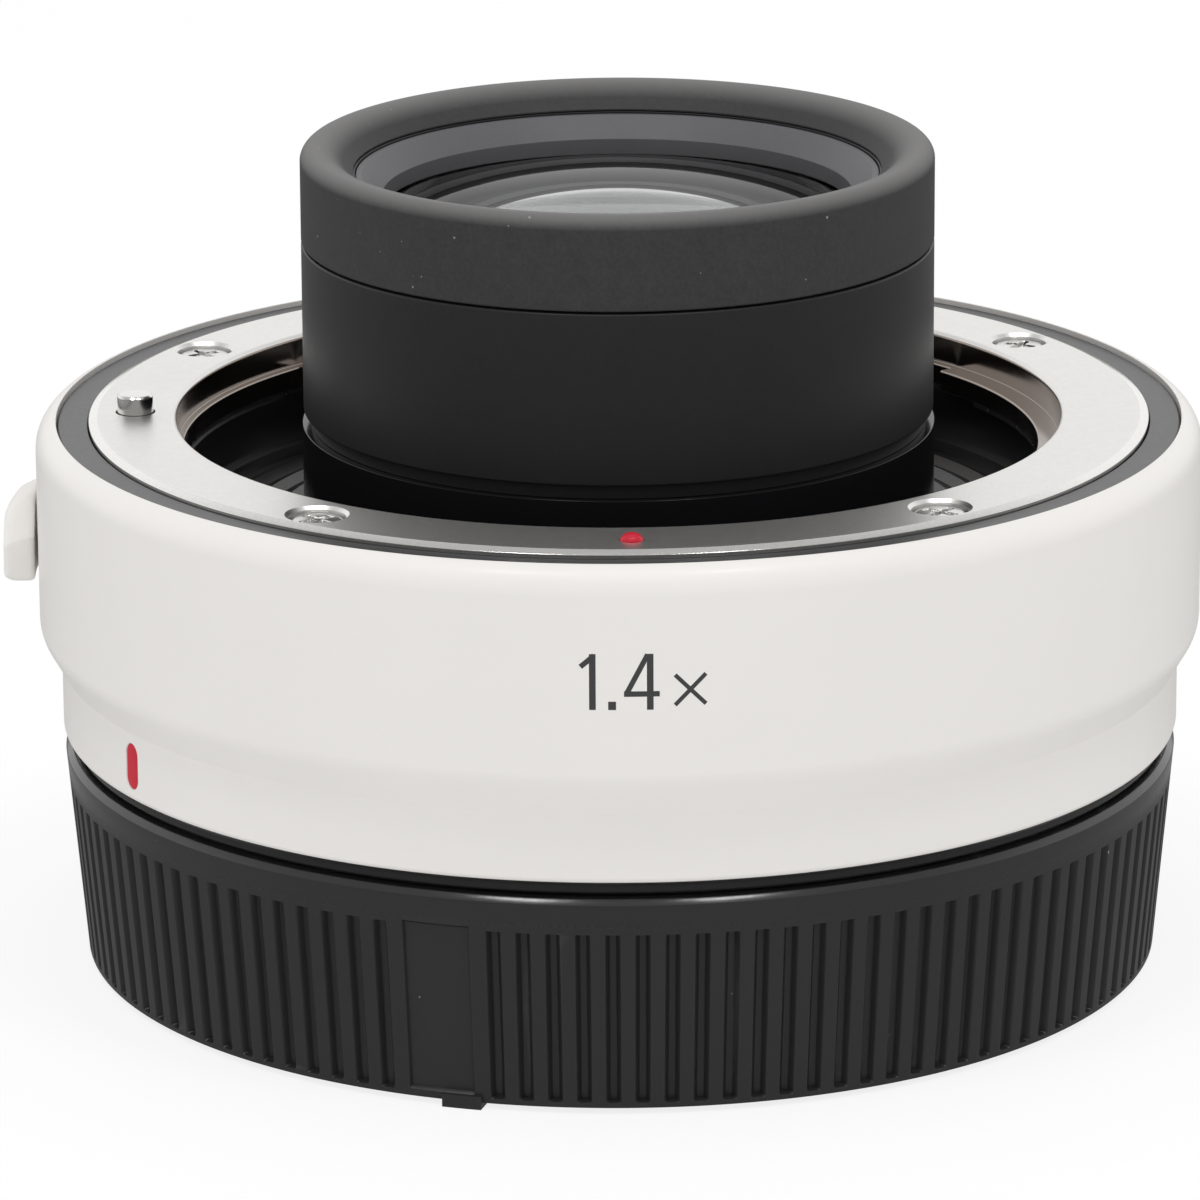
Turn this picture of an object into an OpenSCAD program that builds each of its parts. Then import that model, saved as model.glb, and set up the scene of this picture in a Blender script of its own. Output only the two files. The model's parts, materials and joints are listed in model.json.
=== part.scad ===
// Camera teleconverter with a female bayonet in front, a male bayonet behind and a fluted cap on the rear.
// Millimetres. The optical axis is +Z, the cap's flat base is z = 0, the front index points to -Y
// and the release lever is on the -X side. Angles named az turn from -Y towards +X.

/* [Bayonet mount] */
// Distance from the rear flange to the front flange
flange_gap = 20.3; // [19.5:0.1:24]
// Radius of the front throat
throat_r = 27; // [26:0.1:29]
// Step from the throat in to the notches between the tabs
notch_step = 0.45; // [0.3:0.05:0.6]
// Reach of the front tabs into the throat
tab_reach = 1.4; // [1.1:0.1:1.8]
// Depth of the tabs below their flange
tab_depth = 1.9; // [1.6:0.1:2.4]
// Thickness of the tabs and lugs
tab_h = 1.3; // [1:0.1:1.6]
// Angle covered by each tab
tab_arc = 50; // [46:1:52]
// Angle covered by each rear lug
lug_arc = 34; // [30:1:36]
// Azimuth of the middle of the first tab
tab_az = 101; // [97:1:104]
// Turn from the first tab to the second
second_tab_turn = 102; // [100:1:110]
// Turn from the first tab to the third
third_tab_turn = 229; // [225:1:232]
// Play between bayonet parts
bayonet_play = 0.15; // [0.1:0.05:0.25]
// Width of the front ring from the throat to its rim
ring_land = 5.7; // [5.4:0.1:7]
// Thickness of the front ring
ring_h = 2.5; // [2.2:0.1:3]
// Height of the bevel round the front ring
ring_bevel_h = 0.45; // [0.3:0.05:0.6]
// Width of the bevel round the front ring
ring_bevel_w = 0.7; // [0.3:0.05:1]
// Wall of the ring's collar below its flange
ring_collar_wall = 0.6; // [0.5:0.05:0.8]
// Thickness of the rear flange
rear_flange_h = 1.65; // [1.5:0.05:2.2]
// Wall of the rear bayonet's tube
rear_tube_wall = 1.7; // [1.2:0.1:2]
// Thickness of the flange shim
shim_h = 0.15; // [0.1:0.05:0.3]
// Thickness of the leaf plate under the tabs
leaf_h = 0.3; // [0.2:0.05:0.4]
// Angle covered by each leaf
leaf_arc = 35; // [25:1:45]
// Reach of the rear bayonet's tube past its lugs
rear_lip = 0.4; // [0.3:0.05:0.8]

/* [Fasteners] */
// Distance of the mount screws from the throat
screw_land = 2.8; // [2.6:0.1:3.2]
// Azimuth of the two screws nearest the index
front_screw_az = 37.5; // [30:0.5:45]
// Azimuth of the two screws away from the index
back_screw_az = 120.5; // [112:0.5:124]
// Azimuth of the rear mount screws
rear_screw_az = 45; // [35:1:55]
// Radius of a mount screw's head
screw_head_r = 1.6; // [1.4:0.05:1.7]
// Thickness of a mount screw's head
screw_head_h = 0.85; // [0.6:0.05:1]
// Radius of a mount screw's shank
screw_shank_r = 0.85; // [0.7:0.05:0.9]
// Depth of a mount screw's head below its flange
screw_sink = 0.3; // [0.15:0.05:0.4]
// Bevel round a mount screw's counterbore
screw_bevel = 0.2; // [0.1:0.05:0.25]
// Length of a small inner screw's shank
small_shank_h = 1.5; // [1:0.1:1.6]
// Radius of a small inner screw's shank
small_shank_r = 0.7; // [0.5:0.05:0.8]
// Radius of a small inner screw's head
small_head_r = 1.25; // [1:0.05:1.4]
// Thickness of a small inner screw's head
small_head_h = 0.7; // [0.5:0.05:0.9]

/* [Lock pin and lever] */
// Azimuth of the lock pin
pin_az = -90; // [-93:1:-88]
// Distance of the lock pin from the throat
pin_land = 2.5; // [2.4:0.05:2.8]
// Radius of the lock pin
pin_r = 1.1; // [0.9:0.05:1.2]
// Height of the lock pin above the front flange
pin_rise = 1.15; // [0.8:0.05:1.4]
// Travel of the lock pin
pin_travel = 1.3; // [1:0.05:1.4]
// Radius of the collar on the lock pin
pin_collar_r = 1.6; // [1.45:0.05:1.7]
// Thickness of the collar on the lock pin
pin_collar_h = 0.7; // [0.5:0.05:0.9]
// Radius of the cam stud on the lock pin
stud_r = 0.5; // [0.4:0.05:0.6]
// Turn of the release lever
lever_turn = 9; // [7:0.5:10]
// Azimuth of the middle of the release lever
lever_az = -96.5; // [-100:0.5:-96]
// Angle covered by the lever's finger piece
lever_arc = 13; // [10:1:14]
// Height of the lever's finger piece
lever_h = 5.2; // [4:0.1:5.6]
// Reach of the finger piece from the shell
lever_reach = 2.2; // [1.9:0.1:3]
// Slope of the finger piece's upper face
lever_slope = 27; // [20:1:35]
// Rounding of the finger piece's upper edge
lever_crown = 1; // [0.6:0.1:1.1]
// Rounding of the finger piece's lower edge
lever_corner = 0.8; // [0.5:0.1:1.1]
// Depth of the lever's lower face below the front flange
lever_drop = 10.75; // [10:0.05:11.5]
// Height of the lever's stem
stem_h = 2; // [1.6:0.1:2.2]
// Angle covered by the lever's stem
stem_arc = 6; // [5:0.5:7]
// Thickness of the release slider
slider_wall = 1; // [0.8:0.1:1.1]
// Angle from the lever to the slider's back end
slider_tail = 11; // [9:0.5:12]
// Angle from the lock pin to the slider's front end
slider_nose = 12; // [11.5:0.5:13]
// Angle from the slider's back end to its spring's seat
spring_arc = 19; // [18:0.5:20]
// Wire radius of both springs
wire_r = 0.15; // [0.1:0.01:0.2]

/* [Outer shell] */
// Height of the seal gap between the rear flange and the shell
seal_gap = 0.92; // [0.7:0.02:1.2]
// Thickness of the shell's wide part
shell_wall = 1.7; // [1.3:0.1:2]
// Thickness of the shell's narrow part
shell_low_wall = 1.4; // [1.2:0.1:1.6]
// Step from the wide part in to the narrow part
waist_step = 1.3; // [1:0.1:1.4]
// Height of the shell's narrow part
waist_h = 3.65; // [3:0.05:4.2]
// Slope of the waist from the vertical
waist_slope = 30; // [25:1:35]
// Radius of the rounding above the waist
shoulder_round = 2.8; // [2:0.1:3]
// Radius of the rounding round the shell's top
top_round = 1.88; // [1.5:0.02:2]
// Angle of the rounding round the shell's top
top_round_arc = 71; // [60:1:75]
// Depth of the shell's top edge below the front flange
shell_top_drop = 0.12; // [0:0.02:0.2]
// Width of the frame's lip round the front ring
frame_lip = 1.1; // [0.9:0.05:1.4]
// Depth of the trim ring's face below the front flange
trim_drop = 0.42; // [0.3:0.02:0.6]
// Thickness of the trim ring
trim_h = 0.8; // [0.6:0.05:0.9]
// Gap between the trim ring and the shell
trim_gap = 0.09; // [0.05:0.01:0.15]
// Height of the red mount line
line_h = 2.8; // [2:0.1:2.9]
// Width of the red mount line
line_w = 1.2; // [0.8:0.05:1.4]
// Depth of the red mount line's inlay
line_depth = 0.3; // [0.2:0.05:0.4]
// Azimuth of the red mount line
line_az = -60; // [-65:1:-55]
// Radius of the red index dome
index_r = 0.7; // [0.5:0.05:0.8]
// Height of the red index dome above the ring
index_rise = 0.42; // [0.2:0.02:0.5]

/* [Throat] */
// Depth of the throat's floor below the front flange
throat_depth = 7.45; // [7.2:0.05:8]
// Thickness of the throat's floor
floor_h = 1.2; // [1:0.1:1.5]
// Number of concentric ridges on the floor
ridge_count = 3; // [2:1:4]
// Height of the ridges
ridge_h = 0.35; // [0.2:0.05:0.5]
// Angle covered by a contact block
contact_arc = 54; // [50:1:60]
// Number of electrical contacts
contact_count = 12; // [8:1:12]
// Angle between neighbouring contacts
contact_pitch = 4.2; // [4:0.1:4.4]
// Height of the front contact block above the floor
contact_h = 3.8; // [3.4:0.1:4.2]
// Radius of a contact pin
contact_r = 0.45; // [0.35:0.05:0.5]
// Height of a contact pin above its block
contact_rise = 0.7; // [0.65:0.05:0.8]
// Travel of a contact pin
contact_travel = 0.6; // [0.4:0.05:0.6]

/* [Front barrel] */
// Space between the barrel and the throat
throat_gap = 7.77; // [7.2:0.01:8.4]
// Height of the barrel's lower edge above the front flange
barrel_lift = 0.2; // [0:0.05:0.5]
// Height of the barrel from its lower edge to the rubber rim
barrel_h = 10.55; // [9.8:0.05:11.5]
// Height of the gloss neck between collar and barrel
neck_h = 0.86; // [0.6:0.02:1]
// Depth of the gloss neck
neck_depth = 0.48; // [0.3:0.02:0.6]
// Amount by which the collar is wider than the barrel
collar_step = 0.07; // [0:0.01:0.15]
// Wall of the collar
collar_wall = 0.85; // [0.7:0.05:1]
// Wall of the optical barrel
tube_wall = 1.4; // [1.2:0.1:1.6]
// Height of the rubber rim
rim_h = 5.7; // [5.2:0.1:6.4]
// Wall of the rubber rim
rim_wall = 1.6; // [1.3:0.05:1.8]
// Rounding of the rim's outer edge
rim_round = 0.8; // [0.4:0.05:1]
// Reach of the rim's lip over the barrel's end
rim_lip = 1.23; // [0.9:0.01:1.4]
// Fall of the rim's lip from its crest to its inner edge
rim_fall = 0.95; // [0.6:0.05:1.1]
// Gap shown as a line below the rim
rim_gap = 0.12; // [0.08:0.02:0.2]

/* [Optics] */
// Depth of the front lens below the rim's crest
glass_recess = 2; // [1.6:0.1:2.4]
// Depth of the front lens's curve
front_bulge = 2.3; // [1.6:0.1:2.6]
// Wall of the barrel's end round the front retaining ring
end_wall = 1.68; // [1.4:0.02:2]
// Wall between the retaining ring's thread and the front lens
thread_wall = 0.85; // [0.7:0.05:1]
// Cover of the front retaining ring over the lens's edge
front_cover = 0.76; // [0.6:0.02:1]
// Wall of the lens cell round the rear lens
cell_wall = 3.4; // [3:0.1:3.8]
// Wall of the lens cell round the middle lenses
cell_neck_wall = 4; // [3.5:0.1:4.4]
// Step from the rear lens in to the sixth lens
sixth_step = 0.5; // [0.4:0.05:0.8]
// Air space between the first and second groups
first_air = 3.6; // [3.4:0.1:4.2]
// Layer of cement between lenses
cement = 0.02; // [0.01:0.01:0.04]

/* [Rear cap] */
// Height of the cap
cap_h = 13.45; // [13:0.05:15]
// Gap between the cap's rim and the rear flange
cap_gap = 0.1; // [0.1:0.05:0.3]
// Narrowing of the cap from its rim to its lower edge
cap_taper = 1.13; // [0.8:0.01:1.4]
// Step from the shell's narrow part in to the cap's rim
cap_step = 0.1; // [0:0.02:0.3]
// Height of the cap's lower edge above its base
cap_edge_h = 0.35; // [0.2:0.05:0.6]
// Bevel of the cap's rim
cap_bevel = 0.35; // [0.2:0.05:0.5]
// Wall of the cap inside its flutes
cap_wall = 1.35; // [1.2:0.05:1.6]
// Thickness of the cap's floor
cap_floor = 2; // [1.6:0.1:2.4]
// Number of flute places round the cap
flute_count = 122; // [110:2:128]
// Flute places taken by the smooth panel
panel_places = 3; // [3:2:5]
// Width of a flute at the cap's surface
flute_w = 0.95; // [0.7:0.05:1.1]
// Width of a flute's floor
flute_floor_w = 0.35; // [0.2:0.05:0.6]
// Depth of a flute
flute_depth = 0.5; // [0.3:0.05:0.6]
// Height of the plain edge below the flutes
flute_foot = 0.3; // [0.2:0.05:0.6]
// Depth of the flutes' top ends below the cap's rim
flute_top_drop = 2.15; // [1.8:0.05:2.6]
// Azimuth of the middle of the smooth panel
panel_az = -19.9; // [-26:0.1:-14]
// Angle covered by the smooth panel
panel_arc = 7; // [6:0.1:7.4]
// Depth of the smooth panel
panel_depth = 0.25; // [0.15:0.05:0.35]
// Azimuth of the middle of the nub under the lower edge
nub_az = -17.7; // [-26:0.1:-14]
// Angle covered by the nub
nub_arc = 4.2; // [3:0.1:6]

/* [Circuit] */
// Thickness of the circuit board
board_h = 1; // [0.8:0.1:1.2]
// Width of the largest board component
chip_w = 6; // [5:0.5:6.5]
// Height of the largest board component
chip_h = 1.2; // [0.8:0.1:1.3]
// Thickness of the flexible cables
flex_h = 0.25; // [0.2:0.01:0.3]
// Width of the flexible cables
flex_w = 9; // [7:0.5:10]

/* [Hidden] */
$fn = 96;
// Fine rounding for lens surfaces
lens_fn = 200;
// Steps along a rounded corner of a turned profile
arc_steps = 8;
// Clearance of a seated fit, of a running pin and between moving curved faces
fit = 0.05;
pin_fit = 0.06;
moving = 0.3;
// Amount by which a cutter passes a face
over = 1;
// A whole turn, and the turn from +X to -Y, where az is 0
full_turn = 360;
minus_y = -90;
// Azimuth of the contacts, opposite the index
contact_az = 180;

// Fall of a spherical face of curve c at radius r, and the curve of a face that falls by depth at radius r
function sag(c, r) = c - sqrt(c * c - r * r);
function curve(depth, r) = (r * r + depth * depth) / (2 * depth);

// Radii from the throat outwards
frame_wall = 2.45;
flange_inset = 0.25;
seal_inset = 0.65;
notch_r = throat_r - notch_step;
tab_r = throat_r - tab_reach;
ring_r = throat_r + ring_land;
frame_r = ring_r + fit + frame_lip;
shell_in_r = frame_r + fit;
shell_r = shell_in_r + shell_wall;
shell_low_r = shell_r - waist_step;
shell_low_in_r = shell_low_r - shell_low_wall;
frame_low_r = shell_low_in_r - fit;
shell_top_r = shell_r - top_round * (1 - cos(top_round_arc));
trim_r = shell_top_r - trim_gap;
screw_circle_r = throat_r + screw_land;
pin_circle_r = throat_r + pin_land;
ring_collar_r = throat_r + ring_collar_wall;
seat_r = ring_collar_r + fit;
wall_in_r = frame_r - frame_wall;
rear_flange_r = frame_low_r - flange_inset;
rear_tube_r = tab_r - 2 * bayonet_play;
rear_bore_r = rear_tube_r - rear_tube_wall;
lug_r = notch_r - bayonet_play;
seal_r = shell_low_r - seal_inset;

// Radii from the barrel inwards
spigot_wall = 1.35;
tube_flange_w = 5;
tube_flange_h = 1.6;
tube_screw_land = 3.3;
plate_bore_land = 1.65;
barrel_r = throat_r - throat_gap;
collar_r = barrel_r + collar_step;
neck_r = barrel_r - neck_depth;
tube_r = collar_r - collar_wall - fit;
tube_bore_r = tube_r - tube_wall;
cell_r = tube_bore_r - fit;
spigot_bore_r = cell_r - spigot_wall;
cell_neck_r = spigot_bore_r - fit;
rim_bore_r = barrel_r - rim_wall;
rim_lip_r = rim_bore_r - rim_lip;
ring_thread_r = rim_bore_r - 2 * fit - end_wall;
front_lens_r = ring_thread_r - thread_wall;
front_clear_r = front_lens_r - front_cover;
rear_lens_r = cell_r - fit - cell_wall;
sixth_lens_r = rear_lens_r - sixth_step;
middle_lens_r = cell_neck_r - fit - cell_neck_wall;
tube_flange_r = tube_r + tube_flange_w;
tube_screw_r = tube_r + tube_screw_land;
plate_bore_r = tube_r + plate_bore_land;

// Heights from the base upwards
plate_h = 1.65;
rear_z = cap_h + cap_gap;
front_z = rear_z + flange_gap;
shell_z = rear_z + seal_gap;
plate_z = rear_z + rear_flange_h + shim_h;
plate_top_z = plate_z + plate_h;
lug_top_z = rear_z - tab_depth - tab_h - bayonet_play;
lug_z = lug_top_z - tab_h;
cap_tab_top_z = rear_z - tab_depth;

// Heights from the front flange downwards
floor_step_h = 0.75;
floor_step_w = 0.45;
ridge_in_land = 1.2;
ridge_out_land = 0.6;
ridge_gap = 0.1;
web_h = 1.75;
annulus_h = 2.15;
chip_room = 1.2;
ring_seat_z = front_z - ring_h;
ring_tab_top_z = front_z - tab_depth;
ring_tab_z = ring_tab_top_z - tab_h;
shell_top_z = front_z - shell_top_drop;
trim_z = front_z - trim_drop;
trim_seat_z = trim_z - trim_h;
floor_z = front_z - throat_depth;
web_top_z = floor_z - floor_h - fit;
web_z = web_top_z - web_h;
annulus_z = ring_seat_z - annulus_h;
board_top_z = web_z - chip_room - chip_h;
board_z = board_top_z - board_h;

// Shell's waist and lining
lining_drop = 0.6;
shell_edge_round = 0.4;
waist_z = shell_z + waist_h;
shoulder_in = shoulder_round * (1 - cos(waist_slope));
waist_top_z = waist_z + (waist_step - shoulder_in) / tan(waist_slope);
shoulder_z = waist_top_z + shoulder_round * sin(waist_slope);
top_round_z = shell_top_z - top_round * sin(top_round_arc);

// Heights of the barrel
rim_edge_h = 0.1;
barrel_z = front_z + barrel_lift;
collar_top_z = barrel_z - neck_h;
rim_z = barrel_z + barrel_h;
rim_top_z = rim_z + rim_h;
rim_lip_z = rim_top_z - rim_fall - rim_edge_h;

// Lens stack from the front: thicknesses
glass_1 = 2.2;
glass_2 = 5.9;
glass_3 = 1.4;
glass_4 = 6.6;
glass_5 = 1.4;
glass_6 = 4.2;
glass_7 = 1.4;
// Depth of each face's curve at the lens's edge
dip_a = 4.02;
dip_b = 1.26;
dip_c = 1.11;
dip_d = 2.93;
dip_e = 0.95;
dip_f = 1.56;
dip_g = 2.48;
dip_h = 0.61;
front_curve = curve(front_bulge, front_lens_r);
curve_a = curve(dip_a, front_lens_r);
curve_b = curve(dip_b, front_lens_r);
curve_c = curve(dip_c, middle_lens_r);
curve_d = curve(dip_d, middle_lens_r);
curve_e = curve(dip_e, middle_lens_r);
curve_f = curve(dip_f, sixth_lens_r);
curve_g = curve(dip_g, rear_lens_r);
curve_h = curve(dip_h, rear_lens_r);
// Air spaces
second_air = 2;
third_air = 2.6;
// Front vertex of each lens
lens_1_z = rim_top_z - glass_recess;
lens_2_z = lens_1_z - glass_1 - cement;
lens_3_z = lens_2_z - glass_2 - first_air;
lens_4_z = lens_3_z - glass_3 - cement;
lens_5_z = lens_4_z - glass_4 - cement;
lens_6_z = lens_5_z - glass_5 - second_air;
lens_7_z = lens_6_z - glass_6 - third_air;
lens_end_z = lens_7_z - glass_7;
// Seats of the lenses
lens_play = 0.1;
seat_play = 0.03;
stop_step = 0.7;
front_seat_h = 1.75;
cell_gap = 0.5;
spigot_h = 11;
spacer_wall = 0.7;
retainer_w = 1.3;
rear_ring_h = 0.6;
cell_ring_h = 1.05;
front_lip_z = lens_1_z - sag(front_curve, front_clear_r) + lens_play;
front_seat_z = lens_2_z - glass_2 + sag(curve_b, front_clear_r) - seat_play;
cell_top_z = front_seat_z - front_seat_h - cell_gap;
spigot_z = cell_top_z - spigot_h;
third_edge_z = lens_3_z + sag(curve_c, middle_lens_r);
fifth_edge_z = lens_5_z - glass_5 - sag(curve_e, middle_lens_r);
stop_r = middle_lens_r - stop_step;
sixth_stop_z = lens_6_z - sag(curve_f, stop_r) + lens_play;
sixth_edge_z = lens_6_z - sag(curve_f, sixth_lens_r) + lens_play;
spacer_top_z = lens_6_z - glass_6 + sag(curve_f, sixth_lens_r - spacer_wall) - fit;
spacer_z = lens_7_z + sag(curve_g, sixth_lens_r) + fit;
rear_edge_top_z = lens_7_z + sag(curve_g, rear_lens_r) + fit;
rear_edge_z = lens_end_z - sag(curve_h, rear_lens_r) - lens_play;
cell_z = rear_edge_z - rear_ring_h - lens_play;

// Lock pin, release slider and its cam slot
pin_end_rise = 0.2;
stud_drop = 0.9;
slider_inset = 0.15;
slider_play = 0.15;
window_room = 2;
cam_play = 0.12;
cam_end_room = 0.35;
pin_end_z = web_z + pin_end_rise;
stud_z = annulus_z - stud_drop;
pin_collar_z = stud_z - pin_collar_h / 2;
slider_r = wall_in_r + slider_inset;
slider_out_r = slider_r + slider_wall;
slider_z = web_top_z + slider_play;
slider_top_z = annulus_z - slider_play;
slider_back_az = lever_az - slider_tail;
slider_front_az = pin_az + slider_nose;
window_back_az = slider_back_az - spring_arc;
window_front_az = slider_front_az + window_room;
cam_mid_az = pin_az + lever_turn / 2;
cam_run = slider_r * sin(lever_turn / 2);
cam_end = stud_r + cam_end_room;
cam_rise = pin_travel / 2 * (1 + cam_end / cam_run);
cam_half = (stud_r + cam_play) / cos(atan(pin_travel / (2 * cam_run)));

// Release lever, its screws and the two springs
stem_rise = 0.25;
slot_room = 2;
lever_screw_arc = 3;
lever_screw_r = 0.45;
lever_screw_head_r = 0.75;
lever_screw_head_h = 0.35;
lever_screw_depth = 1.2;
lever_spring_r = 0.85;
lever_spring_seat = 0.1;
pin_spring_turns = 4;
lever_spring_turns = 8;
lever_z = front_z - lever_drop;
lever_in_r = shell_r + moving;
lever_out_r = shell_r + lever_reach;
stem_z = slider_z + stem_rise;
stem_seat_r = slider_out_r + fit;
lever_screw_z = stem_z + stem_h / 2;
pin_spring_r = (pin_r + pin_collar_r) / 2;

// Front contacts
contact_land = 1;
// Angles by which a pocket and the rear block pass the contact block
pocket_room = 0.6;
rear_block_room = 6;
contact_pin_h = 3.3;
contact_end_room = 0.2;
web_land = 2.1;
contact_in_r = collar_r + contact_land;
contact_out_r = tab_r - contact_land;
contact_circle_r = (contact_in_r + contact_out_r) / 2;
contact_top_z = floor_z + contact_h;
contact_z = web_top_z + fit;
contact_pin_z = contact_top_z + contact_rise - contact_pin_h;
contact_bore_z = contact_pin_z - contact_travel - contact_end_room;
contact_start = contact_az - contact_pitch * (contact_count - 1) / 2;
web_bore_r = contact_out_r - web_land;

// Rear baffle and contacts
baffle_wall = 1.2;
baffle_plate_h = 1.2;
baffle_plate_drop = 1.55;
baffle_skirt_h = 0.8;
window_w = 30;
window_d = 22;
window_round = 3;
rear_block_gap = 0.15;
rear_block_w = 3.4;
rear_block_h = 2.5;
pad_r = 0.6;
pad_h = 0.3;
pad_rise = 0.05;
baffle_r = rear_bore_r - fit;
baffle_top_z = plate_z - fit;
baffle_plate_z = rear_z - baffle_plate_drop;
baffle_end_z = baffle_plate_z - baffle_skirt_h;
rear_block_out_r = baffle_r - baffle_wall - rear_block_gap;
rear_block_in_r = rear_block_out_r - rear_block_w;
rear_block_top_z = baffle_plate_z - fit;
rear_block_z = rear_block_top_z - rear_block_h;
pad_circle_r = (rear_block_in_r + rear_block_out_r) / 2;

// Circuit board and flexible cables
board_room = 0.8;
board_gap = 0.6;
post_r = 1.5;
post_land = 1.8;
front_flex_land = 0.8;
rear_flex_land = 2.8;
flex_foot = 1.8;
flex_room = 0.3;
flex_slot_land = 1;
post_azs = [75, 195, 315];
tube_screw_azs = [0, 120, 240];
board_in_r = tube_flange_r + board_room;
board_r = wall_in_r - board_gap;
board_mid_r = (board_in_r + board_r) / 2;
post_circle_r = board_r - post_land;
front_flex_r = web_bore_r - front_flex_land;
rear_flex_r = tube_r + rear_flex_land;
flex_reach_r = board_in_r + flex_foot;
// Board components: azimuth, then width, depth and height as shares of the largest one's width and height
chips = [
  [30, 1, 0.75, 1],
  [92, 0.5, 0.4, 0.6],
  [110, 0.7, 0.7, 0.9],
  [-30, 0.8, 0.5, 0.7],
  [-55, 0.4, 0.35, 0.8],
  [-155, 0.55, 0.45, 0.8]
];

// Cap
cap_base_bevel = 1.65;
panel_margin = 0.5;
panel_rise = 0.2;
nub_h = 0.8;
nub_out = 0.3;
cap_top_r = shell_low_r - cap_step;
cap_edge_r = cap_top_r - cap_taper;
cap_base_r = cap_edge_r - cap_base_bevel;
cap_bore_r = cap_edge_r - flute_depth - cap_wall;
cap_draft = atan(cap_taper / (cap_h - cap_bevel - cap_edge_h));
flute_h = (cap_h - flute_top_drop - cap_edge_h) / cos(cap_draft);
flute_pitch = full_turn / flute_count;

// Cross recess of a screw, as shares of its head's radius and height
recess_width = 0.28;
recess_length = 1.25;
recess_depth = 0.55;

// Azimuths that repeat
mount_screw_azs = [front_screw_az, -front_screw_az, back_screw_az, -back_screw_az];
rear_screw_azs = [rear_screw_az, -rear_screw_az, 180 - rear_screw_az, rear_screw_az - 180];
tab_azs = [tab_az, tab_az + second_tab_turn, tab_az + third_tab_turn];
tab_gaps = [second_tab_turn, third_tab_turn - second_tab_turn, full_turn - third_tab_turn];

// A child placed at radius r in direction az
module at_az(az, r) {
  rotate([0, 0, az])
    translate([0, -r, 0])
      children();
}

// A ring of rectangular section
module ring(r_in, r_out, z0, z1) {
  rotate_extrude()
    translate([r_in, z0])
      square([r_out - r_in, z1 - z0]);
}

// A piece of such a ring, centred on az
module sector(r_in, r_out, z0, z1, az, arc) {
  rotate([0, 0, az - arc / 2 + minus_y])
    rotate_extrude(angle = arc)
      translate([r_in, z0])
        square([r_out - r_in, z1 - z0]);
}

// An upright round bar or bore cutter
module bar(r, z0, z1) {
  translate([0, 0, z0])
    cylinder(r = r, h = z1 - z0);
}

// Points of an arc in a profile
function arc(c, r, a0, a1) = [
  for (i = [0:arc_steps])
    let (a = a0 + (a1 - a0) * i / arc_steps)
      c + r * [cos(a), sin(a)]
];

// A screw with a cross recess, its head's top at z = 0
module screw(head_r, head_h, shank_r, shank_h) {
  recess_w = head_r * recess_width;
  recess_l = head_r * recess_length;
  recess_d = head_h * recess_depth;
  difference() {
    union() {
      bar(head_r, -head_h, 0);
      bar(shank_r, -head_h - shank_h, -head_h);
    }
    for (turn = [0, 90])
      rotate([0, 0, turn])
        translate([-recess_l / 2, -recess_w / 2, -recess_d])
          cube([recess_l, recess_w, recess_d + over]);
  }
}

// A lens: positive curves bulge outwards, negative ones are hollow
module lens(r, top_z, top_curve, end_z, end_curve) {
  high = top_z + (top_curve < 0 ? sag(-top_curve, r) : 0);
  low = end_z - (end_curve < 0 ? sag(-end_curve, r) : 0);
  difference() {
    intersection() {
      bar(r, low, high);
      if (top_curve > 0)
        translate([0, 0, top_z - top_curve])
          sphere(r = top_curve, $fn = lens_fn);
      if (end_curve > 0)
        translate([0, 0, end_z + end_curve])
          sphere(r = end_curve, $fn = lens_fn);
    }
    if (top_curve < 0)
      translate([0, 0, top_z - top_curve])
        sphere(r = -top_curve, $fn = lens_fn);
    if (end_curve < 0)
      translate([0, 0, end_z + end_curve])
        sphere(r = -end_curve, $fn = lens_fn);
  }
}

// A coil spring along +Z from 0 to h, as one swept tube
module coil(r, h, turns) {
  steps = 14;
  sides = 6;
  rows = turns * steps;
  climb = h - 2 * wire_r;
  points = [
    for (i = [0:rows])
      for (j = [0:sides - 1])
        let (a = 360 * i / steps, b = 360 * j / sides, d = r + wire_r * cos(b))
          [d * cos(a), d * sin(a), wire_r + climb * i / rows + wire_r * sin(b)]
  ];
  walls = [
    for (i = [0:rows - 1])
      for (j = [0:sides - 1])
        let (k = i * sides, n = (j + 1) % sides)
          each [[k + j, k + sides + j, k + n], [k + n, k + sides + j, k + sides + n]]
  ];
  start = [for (j = [1:sides - 2]) [0, j, j + 1]];
  last = rows * sides;
  end = [for (j = [1:sides - 2]) [last, last + j + 1, last + j]];
  polyhedron(points = points, faces = concat(walls, start, end));
}

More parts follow.
